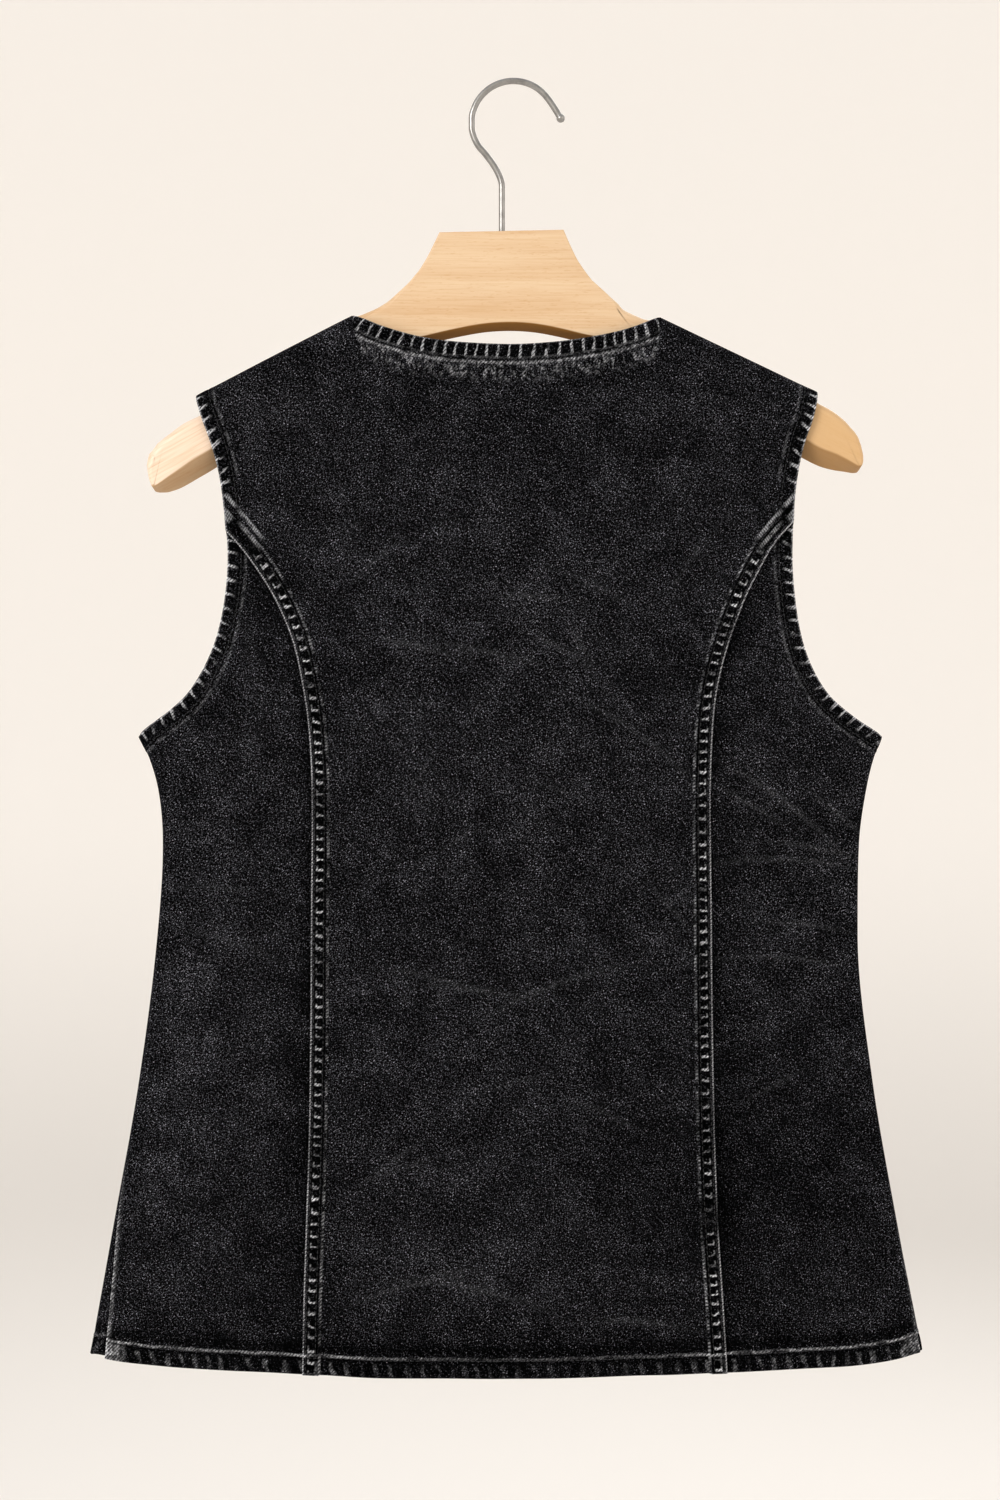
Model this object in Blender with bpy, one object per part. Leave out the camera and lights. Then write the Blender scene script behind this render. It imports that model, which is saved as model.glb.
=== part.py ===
"""A sleeveless denim vest hanging on a wooden hanger with a steel hook.

The vest hangs as flat as a worn-in denim garment does.  Its body is one developed surface: a flat lens,
seen from above, that turns a small round at each side and rolls over the hanger's arms at each shoulder.
Every panel is drawn on that surface in pattern coordinates (across, up), as the cloth would be cut, and then
gets its wall, its turned edges and its laps along the surface's normal.

Metres.  +Z is up, +X is the wearer's right, -Y is the vest's back and +Y its front.
The origin is the highest point inside the hook, where a rail would carry it.
"""

import bpy
import bmesh
import numpy as np
from math import pi, radians

SIGNS = (-1.0, 1.0)     # the left and the right half, in the tables' order
NEAR = 0.001            # a share small enough to tell two lines of a panel apart

# The cloth.
WALL = 0.0014           # one layer of denim with the allowances inside it
TURN_OUT = 0.0003       # how far a turned and stitched edge stands out
TURN_IN = 0.0005        # how far the layer that is turned under stands in
TURN = 0.0100           # width of the turned edge at the neck, the armholes and the fronts
HEM_TURN = 0.0125       # width of the turned edge at the hem
STEP = 0.0016           # distance over which a turned edge or a lap steps down
SEAM_GAP = 0.0003       # space between two pieces at a seam
LAP = 0.0095            # width of the princess lap, the centre back over the side back
LAP_CLEAR = 0.00035     # space between the two layers of a lap
LAP_RISE = WALL + TURN_OUT + LAP_CLEAR
LAP_RUN_IN = 0.025      # distance in which the hidden layer of a princess lap reaches its full width
CLOSURE = 0.0150        # how far each front passes the centre
CLOSURE_CLEAR = 0.0010  # how much wider than the left front's edge the right one stands out over it

# The form under the cloth.
FOLD = 0.0040           # radius of the fold down each side
ROLL = 0.0105           # radius of the roll over each shoulder
SETTLE = 0.120          # height in which the shoulder's roll settles into the lens
LENS_POWER = 1.3

# The silhouette, and how deep the lens is at the back and at the front.
BODY = (
    # height   left     right   back    front
    (-0.1900, -0.2620, 0.2620, 0.0130, 0.0140),
    (-0.3000, -0.2520, 0.2520, 0.0160, 0.0180),
    (-0.3700, -0.2410, 0.2410, 0.0180, 0.0210),
    (-0.4070, -0.2317, 0.2320, 0.0185, 0.0220),
    (-0.4210, -0.2250, 0.2268, 0.0183, 0.0220),
    (-0.4400, -0.2195, 0.2223, 0.0178, 0.0215),
    (-0.4750, -0.2166, 0.2177, 0.0170, 0.0210),
    (-0.5300, -0.2199, 0.2169, 0.0165, 0.0200),
    (-0.6200, -0.2312, 0.2259, 0.0178, 0.0210),
    (-0.7100, -0.2470, 0.2414, 0.0186, 0.0220),
    (-0.8050, -0.2640, 0.2600, 0.0190, 0.0230),
)

# The top of the form: the two shoulder lines, joined by a soft arch inside the neck.
TOP_LINE = (
    # across   height
    (-0.2400, -0.2175),
    (-0.1960, -0.1950),
    (-0.1500, -0.1710),
    (-0.1200, -0.1556),
    (-0.0986, -0.1448),
    (-0.0800, -0.1362),
    (-0.0500, -0.1268),
    (0.0000, -0.1220),
    (0.0500, -0.1275),
    (0.0760, -0.1375),
    (0.0936, -0.1458),
    (0.1200, -0.1584),
    (0.1500, -0.1727),
    (0.1918, -0.1926),
    (0.2400, -0.2145),
)
NECK_POINTS = (-0.0986, 0.0936)     # where the neck meets each shoulder line, across
TIPS = (-0.1960, 0.1918)            # where the armhole meets each shoulder line, across

BACK_NECK = (
    # across   height
    (-0.0911, -0.1478),
    (-0.0818, -0.1518),
    (-0.0700, -0.1556),
    (-0.0582, -0.1588),
    (-0.0400, -0.1618),
    (-0.0186, -0.1634),
    (0.0000, -0.1640),
    (0.0269, -0.1626),
    (0.0470, -0.1599),
    (0.0671, -0.1559),
    (0.0804, -0.1518),
)
ARMHOLE = (
    # height   left     right
    (-0.2100, -0.1912, 0.1880),
    (-0.2250, -0.1858, 0.1828),
    (-0.2450, -0.1805, 0.1785),
    (-0.2700, -0.1772, 0.1760),
    (-0.2950, -0.1752, 0.1753),
    (-0.3200, -0.1768, 0.1768),
    (-0.3400, -0.1808, 0.1798),
    (-0.3550, -0.1858, 0.1840),
    (-0.3700, -0.1935, 0.1908),
    (-0.3820, -0.2020, 0.1990),
    (-0.3910, -0.2120, 0.2090),
    (-0.3980, -0.2215, 0.2185),
    (-0.4035, -0.2285, 0.2272),
)
UNDERARM = -0.4070                  # height of the corner under each arm
JUNCTIONS = (-0.2800, -0.2740)      # height where each princess seam runs out at the armhole
PRINCESS = (
    # height   left     right
    (-0.2900, -0.1671, 0.1622),
    (-0.3050, -0.1560, 0.1538),
    (-0.3200, -0.1466, 0.1462),
    (-0.3350, -0.1394, 0.1402),
    (-0.3500, -0.1338, 0.1350),
    (-0.3750, -0.1284, 0.1285),
    (-0.4000, -0.1247, 0.1253),
    (-0.4500, -0.1225, 0.1238),
    (-0.5200, -0.1229, 0.1245),
    (-0.6400, -0.1240, 0.1261),
    (-0.7000, -0.1256, 0.1279),
    (-0.7600, -0.1275, 0.1318),
    (-0.8050, -0.1282, 0.1343),
)
HEM = (
    # across   height
    (-0.2700, -0.7912),
    (-0.2620, -0.7927),
    (-0.2400, -0.7965),
    (-0.1900, -0.7995),
    (-0.1300, -0.8012),
    (-0.0700, -0.8030),
    (0.0000, -0.8030),
    (0.0800, -0.8016),
    (0.1700, -0.7995),
    (0.2130, -0.7980),
    (0.2400, -0.7948),
    (0.2580, -0.7902),
    (0.2700, -0.7890),
)
SEAM_SHIFT = (
    # height   left    right    how far the front wraps round each side on to the back, along the cloth
    (-0.4000, 0.0000, 0.0000),
    (-0.6400, 0.0000, 0.0000),
    (-0.7000, 0.0036, 0.0000),
    (-0.7500, 0.0082, 0.0012),
    (-0.8050, 0.0126, 0.0040),
)

# The fronts.
FRONT_NECK_DROP = -0.3400           # height where the fronts' neck edge reaches the closure
FRONT_NECK_BOW = (0.078, -0.2550)   # the point that bows each neck edge, from the centre and up
FRONT_ARMHOLE_IN = 0.0100           # how much deeper than the back the fronts' armholes are cut
BUTTON_HEIGHTS = (-0.3620, -0.4500, -0.5380, -0.6260, -0.7140)
BUTTON_PROFILE = (
    # radius   out from the cloth
    (0.0030, 0.0003),
    (0.0030, 0.0016),
    (0.0082, 0.0016),
    (0.0086, 0.0023),
    (0.0082, 0.0031),
    (0.0062, 0.0036),
    (0.0050, 0.0032),
    (0.0020, 0.0035),
)
BUTTON_SIDES = 16

# How finely the panels are divided: distances in from an edge, and shares of the way between two edges.
PANEL_GUESS = (0.5, 1.0)            # a panel's width and height, for the first guess of its lines' shares
FOLD_COLUMNS = (0.0, 0.0022, 0.0044, 0.0068)        # in from a side seam, round the fold
WRAP_COLUMNS = (0.0140, 0.0165, 0.0190)             # further in, where the front wraps round to the back
ROLL_ROWS = (0.0, 0.0022, 0.0046, 0.0072, TURN, TURN + STEP, 0.0140, 0.0165, 0.0250)
HEM_ROWS = (0.0, HEM_TURN, HEM_TURN + STEP)
SEAM_ROWS = tuple(np.linspace(0.075, 0.960, 14))    # down a side seam, the same on both panels
SIDE_COLUMNS = tuple(np.linspace(0.0, 0.9, 9)[1:])  # across a side back, from its inner edge
FRONT_COLUMNS = tuple(np.linspace(0.34, 0.82, 6))   # across a front, from its inner edge
FIRST_ROW = 0.060                   # of a panel with a shoulder, below the roll
JUNCTION_ROW = 0.20                 # of the centre back, where its armholes end and its princess seams begin
LAST_ROW = 0.965                    # of the centre back, above the hem
NECK_COLUMNS = (0.25, 0.75)         # of the centre back, where its neck meets the shoulders
CENTRE_COLUMNS = (0.085, 0.140, 0.195, 0.250, 0.263, 0.281, 0.310, 0.360, 0.430)    # half of its columns
NECK_ROW = 0.26                     # of a front, where its neck edge reaches the closure
ARM_ROW = 0.38                      # of a front, where its armhole reaches the side seam
LAPPED_ROW = 0.185                  # of the right front, from which it stands out over the left one

# The hanger.
ARM_THICK = 0.0124
SHARP, ROUND = 0.0011, 0.0050       # radius of its long edges: where the round column is 0, and where it is 1
ARM_ROUND_ANGLES = (-90.0, -58.0, -28.0, -0.001, 0.001, 28.0, 58.0, 90.0)
REST = 0.00060                      # space between the arm and the cloth that it carries
MITRE = 0.6                         # least sine at a corner, so that a sharp one doesn't run far in
CROWN_RIGHT = (
    # across   height    round     from the crown's right corner down to where the cloth covers it
    (0.0333, -0.0921, 0.00),
    (0.0378, -0.1024, 0.00),
    (0.0428, -0.1122, 0.00),
    (0.0512, -0.1237, 0.00),
    (0.0644, -0.1355, 0.25),
    (0.0818, -0.1466, 0.90),
)
CROWN_LEFT = (
    # across   height    round     from the crown's left corner, likewise
    (-0.0439, -0.0937, 0.00),
    (-0.0482, -0.1026, 0.00),
    (-0.0554, -0.1157, 0.00),
    (-0.0672, -0.1288, 0.25),
    (-0.0809, -0.1394, 0.75),
    (-0.0912, -0.1440, 0.95),
)
SEAT = (0.102, 0.115, 0.130, 0.145)  # where each arm carries the cloth, from the centre
ARM_END_RIGHT = (
    # across   height   round  lift: how much higher the edge on the back's side is
    (0.1780, -0.1915, 1.00, 0.0000),
    (0.1930, -0.2000, 1.00, 0.0000),
    (0.2010, -0.2044, 1.00, 0.0000),
    (0.2094, -0.2112, 1.00, 0.0000),
    (0.2150, -0.2178, 0.90, 0.0000),
    (0.2181, -0.2262, 0.65, 0.0010),
    (0.2178, -0.2330, 0.30, 0.0025),
    (0.2150, -0.2392, 0.05, 0.0060),
    (0.2037, -0.2412, 0.00, 0.0095),
    (0.1956, -0.2387, 0.00, 0.0100),
    (0.1800, -0.2300, 0.00, 0.0095),
    (0.1400, -0.2080, 0.00, 0.0085),
    (0.1000, -0.1850, 0.00, 0.0070),
    (0.0700, -0.1670, 0.00, 0.0045),
)
ARCH = (
    # across   height   round  lift
    (0.0466, -0.1611, 0.00, 0.0034),
    (0.0300, -0.1570, 0.00, 0.0033),
    (0.0150, -0.1543, 0.00, 0.0033),
    (0.0000, -0.1534, 0.00, 0.0033),
    (-0.0150, -0.1542, 0.00, 0.0033),
    (-0.0320, -0.1571, 0.00, 0.0033),
    (-0.0520, -0.1618, 0.00, 0.0034),
)
ARM_END_LEFT = (
    # across   height   round  lift
    (-0.0750, -0.1680, 0.00, 0.0045),
    (-0.1100, -0.1890, 0.00, 0.0070),
    (-0.1450, -0.2110, 0.00, 0.0085),
    (-0.1830, -0.2368, 0.00, 0.0100),
    (-0.1947, -0.2438, 0.00, 0.0105),
    (-0.2074, -0.2510, 0.00, 0.0095),
    (-0.2150, -0.2534, 0.00, 0.0085),
    (-0.2204, -0.2530, 0.05, 0.0060),
    (-0.2240, -0.2480, 0.30, 0.0030),
    (-0.2262, -0.2392, 0.65, 0.0010),
    (-0.2252, -0.2322, 0.90, 0.0000),
    (-0.2198, -0.2248, 1.00, 0.0000),
    (-0.2110, -0.2178, 1.00, 0.0000),
    (-0.2030, -0.2120, 1.00, 0.0000),
    (-0.1925, -0.2068, 1.00, 0.0000),
    (-0.1780, -0.1975, 1.00, 0.0000),
)

# The hook.
WIRE = 0.0020                       # radius
BALL = 0.0027                       # radius of the ball at its end
LOOP_CENTRE = (0.0022, -0.0243)     # across, height
LOOP_RADIUS = 0.0262
LOOP_FROM = 37.0                    # degrees above level, where the loop runs out to the ball
LOOP_TO = 228.0                     # degrees, where the loop turns into the stem
HOOK_END = (0.0331, -0.0237)
STEM = -0.0050                      # across
STEM_TOP = -0.0640
STEM_BEND = (-0.0072, -0.0562)      # across, height
STEM_STATIONS = (-0.0780, -0.0920)  # heights that keep the stem straight
STEM_FOOT = -0.1100                 # inside the wood
STEM_HOLE_LENGTH = 0.0300
WIRE_SIDES = 10
LOOP_POINTS = 15
BALL_TIP = 0.02                     # least share of the ball's radius, squared, which keeps its tip closed

FINISHES = (
    # name           red    green  blue   roughness metallic
    ("black_denim", 0.030, 0.030, 0.033, 0.85, 0.0),
    ("beech", 0.72, 0.53, 0.34, 0.45, 0.0),
    ("steel", 0.62, 0.62, 0.61, 0.32, 1.0),
    ("dark_metal", 0.20, 0.20, 0.21, 0.40, 1.0),
)


# Curves through tables.

def column(table, number):
    return np.array([row[number] for row in table], dtype=float)


def smooth(places, values, at):
    """The smooth curve through (places, values), by cubic Hermite spans with slopes that never overshoot."""
    order = np.argsort(places)
    x = np.asarray(places, dtype=float)[order]
    y = np.asarray(values, dtype=float)[order]
    chord = np.diff(y) / np.diff(x)
    slope = np.concatenate(([chord[0]], 0.5 * (chord[1:] + chord[:-1]), [chord[-1]]))
    limit = 3.0 * np.minimum(np.abs(chord[1:]), np.abs(chord[:-1])) * (chord[1:] * chord[:-1] > 0)
    slope[1:-1] = np.clip(slope[1:-1], -limit, limit)
    at = np.clip(at, x[0], x[-1])
    span = np.clip(np.searchsorted(x, at) - 1, 0, len(x) - 2)
    width = x[span + 1] - x[span]
    t = (at - x[span]) / width
    rise = y[span] * (1 + 2 * t) * (1 - t) ** 2 + y[span + 1] * t * t * (3 - 2 * t)
    return rise + width * (slope[span] * t * (1 - t) ** 2 - slope[span + 1] * t * t * (1 - t))


def ramp(value, start, end):
    """0 at start, 1 at end and a smooth step between them."""
    t = np.clip((value - start) / (end - start), 0.0, 1.0)
    return t * t * (3.0 - 2.0 * t)


def lengths(points):
    """The length along a run of points, up to each of them."""
    return np.concatenate(([0.0], np.cumsum(np.linalg.norm(np.diff(points, axis=0), axis=1))))


def dense(points, steps=8):
    """A finer line through the points, smooth along its own length."""
    points = np.asarray(points, dtype=float)
    length = lengths(points)
    at = np.interp(np.arange(steps * (len(points) - 1) + 1) / steps, np.arange(len(points)), length)
    return np.stack([smooth(length, points[:, axis], at) for axis in range(points.shape[1])], axis=1)


# The form that the cloth lies on.

def side_of(across):
    """0 on the left and 1 on the right, which is also the tables' order."""
    return (np.asarray(across) >= 0).astype(int)


def half_width(across, height):
    left = -smooth(column(BODY, 0), column(BODY, 1), height)
    right = smooth(column(BODY, 0), column(BODY, 2), height)
    return np.where(side_of(across) == 1, right, left)


def lens(across, height, face):
    """How far the lens stands out from the middle plane: deep at the centre, FOLD at its two edges."""
    depth = smooth(column(BODY, 0), column(BODY, 3 if face < 0 else 4), height)
    flat = half_width(across, height) - FOLD
    share = np.clip(np.abs(across) / flat, 0.0, 1.0)
    return FOLD + (depth - FOLD) * (1.0 - share ** 2) ** LENS_POWER


def top_line(across):
    return smooth(column(TOP_LINE, 0), column(TOP_LINE, 1), across)


def form(across, up, face):
    """The point of the form at the pattern's (across, up), on the back (face -1) or the front (face +1)."""
    sign = np.where(across >= 0, 1.0, -1.0)
    flat = half_width(across, up) - FOLD
    past = np.abs(across) - flat
    beyond = np.maximum(past - pi * FOLD, 0.0)
    turn = np.clip(past / FOLD, 0.0, pi)
    x = sign * np.where(past > 0, flat + FOLD * np.sin(turn) - beyond, np.abs(across))
    top = top_line(x)
    rolled = np.clip((up - top + ROLL) / ROLL, 0.0, pi / 2)
    z = np.where(rolled > 0, top - ROLL + ROLL * np.sin(rolled), up)
    settled = ramp(top - ROLL - up, 0.0, SETTLE)
    near = ROLL + (lens(x, z, face) - ROLL) * settled
    far = lens(x, z, -face)
    y = np.where(past > 0, FOLD * np.cos(turn), near * np.cos(rolled))
    y = np.where(beyond > 0, -far, y)
    return np.stack([x, face * y, z], axis=-1)


def normal(across, up, face):
    """The form's outward normal, from points a fifth of a millimetre to each side."""
    small = 0.0002
    along = form(across + small, up, face) - form(across - small, up, face)
    above = form(across, up + small, face) - form(across, up - small, face)
    out = np.cross(along, above) * (-face)
    return out / np.linalg.norm(out, axis=-1, keepdims=True)


def pattern_up(across, height):
    """The pattern's up coordinate of a point at this height, which is further along where the cloth rolls."""
    top = top_line(across)
    drop = np.clip((top - height) / ROLL, 0.0, 1.0)
    return np.where(drop < 1.0, top - ROLL + ROLL * (pi / 2 - np.arccos(1.0 - drop)), height)


def shoulder(across):
    """The shoulder seam in the pattern: the top of the roll, half a seam gap short of it."""
    return top_line(across) + ROLL * (pi / 2 - 1.0) - SEAM_GAP / 2


def side_edge(side, height, face):
    """The side seam in the pattern, across: the fold's outermost line, shifted where the front wraps."""
    sign = SIGNS[side]
    shift = smooth(column(SEAM_SHIFT, 0), column(SEAM_SHIFT, 1 + side), height)
    reach = half_width(sign, height) - FOLD + FOLD * pi / 2 + face * shift - SEAM_GAP / 2
    return sign * reach


# Panel outlines in the pattern, each as a run of points.

def armhole_run(side, face, start, end):
    """The armhole from one height down to another; a front's is cut deeper than the back's."""
    sign = SIGNS[side]
    table = [(TIPS[side], float(top_line(TIPS[side])))]
    table += [(row[1 + side], row[0]) for row in ARMHOLE]
    table += [(half_width(sign, UNDERARM) * sign, UNDERARM)]
    run = dense(table)
    if face > 0:
        share = np.clip((run[:, 1] - UNDERARM) / (run[0, 1] - UNDERARM), 0.0, 1.0)
        run[:, 0] -= sign * FRONT_ARMHOLE_IN * np.sin(pi * share)
    run[:, 1] = pattern_up(run[:, 0], run[:, 1])
    run[0] = (TIPS[side], shoulder(TIPS[side]))
    run[-1] = (side_edge(side, UNDERARM, face), UNDERARM)
    inside = (run[:, 1] < start) & (run[:, 1] > end)
    ends = [np.interp(-level, -run[:, 1], run[:, 0]) for level in (start, end)]
    return np.concatenate(([(ends[0], start)], run[inside], [(ends[1], end)]))


def princess_run(side, inward):
    """The princess seam from the armhole to the hem; inward(length) moves it towards the centre."""
    sign = SIGNS[side]
    first = armhole_run(side, -1, 0.0, JUNCTIONS[side])[-1]
    run = dense([tuple(first)] + [(row[1 + side], row[0]) for row in PRINCESS])
    along = np.gradient(run, axis=0)
    along /= np.linalg.norm(along, axis=1, keepdims=True)
    across = np.stack([sign * along[:, 1], -sign * along[:, 0]], axis=1)
    return cut_at_hem(run + across * inward(lengths(run))[:, None])


def hem_line(across):
    return smooth(column(HEM, 0), column(HEM, 1), across)


def cut_at_hem(run):
    """The run, ended where it meets the hem."""
    over = run[:, 1] - hem_line(run[:, 0])
    last = int(np.argmax(over < 0))
    share = over[last - 1] / (over[last - 1] - over[last])
    end = run[last - 1] + (run[last] - run[last - 1]) * share
    return np.concatenate((run[:last], [end]))


def hem_run(start, end):
    across = np.linspace(start, end, 60)
    place = np.clip(across, HEM[0][0], HEM[-1][0])
    return np.stack([across, hem_line(place)], axis=1)


def side_run(side, face):
    sign = SIGNS[side]
    foot = float(hem_line(sign * half_width(sign, HEM[0][1])))
    height = np.linspace(UNDERARM, foot, 60)
    return np.stack([side_edge(side, height, face), height], axis=1)


def shoulder_run(start, end):
    across = np.linspace(start, end, 30)
    return np.stack([across, shoulder(across)], axis=1)


def back_neck_run():
    ends = [(x, float(top_line(x))) for x in NECK_POINTS]
    run = dense([ends[0]] + list(BACK_NECK) + [ends[1]])
    run[:, 1] = pattern_up(run[:, 0], run[:, 1])
    run[0, 1] = shoulder(run[0, 0])
    run[-1, 1] = shoulder(run[-1, 0])
    return run


def front_neck_run(side):
    """The front's neck edge, a bowed curve from the shoulder down to the closure, which passes the centre."""
    sign = SIGNS[side]
    start = np.array([NECK_POINTS[side], top_line(NECK_POINTS[side])])
    bow = np.array([sign * FRONT_NECK_BOW[0], FRONT_NECK_BOW[1]])
    end = np.array([-sign * CLOSURE, FRONT_NECK_DROP])
    t = np.linspace(0.0, 1.0, 50)[:, None]
    run = start * (1 - t) ** 2 + bow * 2 * t * (1 - t) + end * t * t
    run[:, 1] = pattern_up(run[:, 0], run[:, 1])
    run[0, 1] = shoulder(run[0, 0])
    return run


# Panels.

class Outline:
    """One edge of a panel: runs of points end to end, each spread over its own share of 0 to 1."""

    def __init__(self, runs, shares):
        self.runs = runs
        self.shares = shares

    def at(self, share):
        share = np.asarray(share, dtype=float)
        out = np.zeros(share.shape + (2,))
        for run, start, end in zip(self.runs, self.shares[:-1], self.shares[1:]):
            length = lengths(run)
            within = (share >= start) & (share <= end)
            place = (share[within] - start) / (end - start) * length[-1]
            for axis in (0, 1):
                out[within, axis] = np.interp(place, length, run[:, axis])
        return out

    def direction(self, share):
        ahead = self.at(np.clip(share + 2 * NEAR, 0, 1)) - self.at(np.clip(share - 2 * NEAR, 0, 1))
        return ahead / np.linalg.norm(ahead, axis=-1, keepdims=True)


def patch(left, right, top, bottom, u, v):
    """The surface between four outlines (Coons): their two rulings added, less the one of their corners."""
    u = u[..., None]
    v = v[..., None]
    sides = left.at(v[..., 0]) * (1 - u) + right.at(v[..., 0]) * u
    ends = top.at(u[..., 0]) * (1 - v) + bottom.at(u[..., 0]) * v
    corners = (top.at(np.array(0.0)) * (1 - u) + top.at(np.array(1.0)) * u) * (1 - v)
    corners = corners + (bottom.at(np.array(0.0)) * (1 - u) + bottom.at(np.array(1.0)) * u) * v
    return sides + ends - corners


def sine(one, other):
    """The sine of the angle between two directions, no less than that of 27 degrees."""
    return np.clip(np.abs(one[..., 0] * other[..., 1] - one[..., 1] * other[..., 0]), 0.45, 1.0)


def shares(near, middle, far, start, end):
    """Where the lines across a panel lie: set distances in from each edge, and fixed shares between them.

    start and end are the two edges' points and directions at each line that is crossed.
    """
    across = end[0] - start[0]
    width = np.linalg.norm(across, axis=-1, keepdims=True)
    across = across / width
    first = np.array(near)[None, :] / (width * sine(across, start[1])[:, None])
    last = 1.0 - np.array(far[::-1])[None, :] / (width * sine(across, end[1])[:, None])
    fixed = np.repeat(np.array(middle)[None, :], len(width), axis=0)
    return np.concatenate([first, fixed, last], axis=1)


def nominal(near, middle, far, size):
    """A first guess of the shares, for a panel of this size."""
    return np.concatenate([np.array(near) / size, middle, 1 - np.array(far[::-1]) / size])


def edge_distance(near, middle, far):
    """For each line, its distance from the near edge and from the far edge; a middle line has none."""
    none = [1.0] * len(middle)
    first = np.array(list(near) + none + [1.0] * len(far))
    last = np.array([1.0] * len(near) + none + list(far[::-1]))
    return first, last


class Panel:
    """A panel of cloth: its four outlines and the lines across and down it."""

    def __init__(self, face, left, right, top, bottom, across, down):
        self.face = face
        nominal_u = nominal(*across, PANEL_GUESS[0])
        nominal_v = nominal(*down, PANEL_GUESS[1])
        u = shares(*across, (left.at(nominal_v), left.direction(nominal_v)),
                   (right.at(nominal_v), right.direction(nominal_v)))
        v = shares(*down, (top.at(nominal_u), top.direction(nominal_u)),
                   (bottom.at(nominal_u), bottom.direction(nominal_u)))
        self.u = u
        self.v = v.T
        pattern = patch(left, right, top, bottom, self.u, self.v)
        self.across = pattern[..., 0]
        self.up = pattern[..., 1]
        self.from_left, self.from_right = edge_distance(*across)
        self.from_top, self.from_bottom = edge_distance(*down)

    def near(self, left=-1.0, right=-1.0, top=-1.0, bottom=-1.0):
        """1 on the cloth within these widths of the panel's edges and 0 elsewhere."""
        columns = (self.from_left <= left + 1e-6) | (self.from_right <= right + 1e-6)
        rows = (self.from_top <= top + 1e-6) | (self.from_bottom <= bottom + 1e-6)
        return (columns[None, :] | rows[:, None]).astype(float)

    def solid(self, name, rise, turned, material):
        """The wall: rise moves both faces out, turned thickens it."""
        place = form(self.across, self.up, self.face)
        out = normal(self.across, self.up, self.face)
        outer = place + out * (rise + TURN_OUT * turned)[..., None]
        inner = place + out * (rise - WALL - TURN_IN * turned * (rise == 0))[..., None]
        return wall_object(name, outer, inner, material)


def wall_object(name, outer, inner, material):
    """A closed solid from two grids of points, one for each face of the cloth."""
    rows, columns = outer.shape[:2]
    index = np.arange(rows * columns).reshape(rows, columns)
    quads = np.stack([index[:-1, :-1], index[:-1, 1:], index[1:, 1:], index[1:, :-1]], axis=-1).reshape(-1, 4)
    rim = np.concatenate([index[0, :], index[1:, -1], index[-1, -2::-1], index[-2:0:-1, 0]])
    following = np.roll(rim, -1)
    shift = rows * columns
    faces = np.concatenate([
        quads,
        quads[:, ::-1] + shift,
        np.stack([following, rim, rim + shift, following + shift], axis=1),
    ])
    points = np.concatenate([outer.reshape(-1, 3), inner.reshape(-1, 3)])
    return mesh_object(name, points, faces.tolist(), material)


# Blender objects.

def make_material(name, red, green, blue, roughness, metallic):
    material = bpy.data.materials.new(name)
    material.use_nodes = True
    shader = next(node for node in material.node_tree.nodes if node.type == 'BSDF_PRINCIPLED')
    shader.inputs['Base Color'].default_value = (red, green, blue, 1.0)
    shader.inputs['Roughness'].default_value = roughness
    shader.inputs['Metallic'].default_value = metallic
    return material


def mesh_object(name, points, faces, material):
    mesh = bpy.data.meshes.new(name)
    mesh.from_pydata([tuple(point) for point in points], [], faces)
    mesh.validate()
    tidy = bmesh.new()
    tidy.from_mesh(mesh)
    bmesh.ops.recalc_face_normals(tidy, faces=tidy.faces)
    bmesh.ops.triangulate(tidy, faces=tidy.faces)
    tidy.to_mesh(mesh)
    tidy.free()
    mesh.materials.append(material)
    mesh.shade_smooth()
    mesh.set_sharp_from_angle(angle=radians(40))
    item = bpy.data.objects.new(name, mesh)
    bpy.context.scene.collection.objects.link(item)
    return item


# The vest's panels.

def mirrored(side, outlines):
    """Left and right change places on the left half, so a panel's columns always run left to right."""
    inner, outer = outlines
    return (inner, outer) if side == 1 else (outer, inner)


def turned_round(side, across):
    """The lines across a panel, given from its inner edge out, in order from left to right."""
    inner, middle, outer = across
    return (inner, middle, outer) if side == 1 else (outer, [1.0 - share for share in middle[::-1]], inner)


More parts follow.
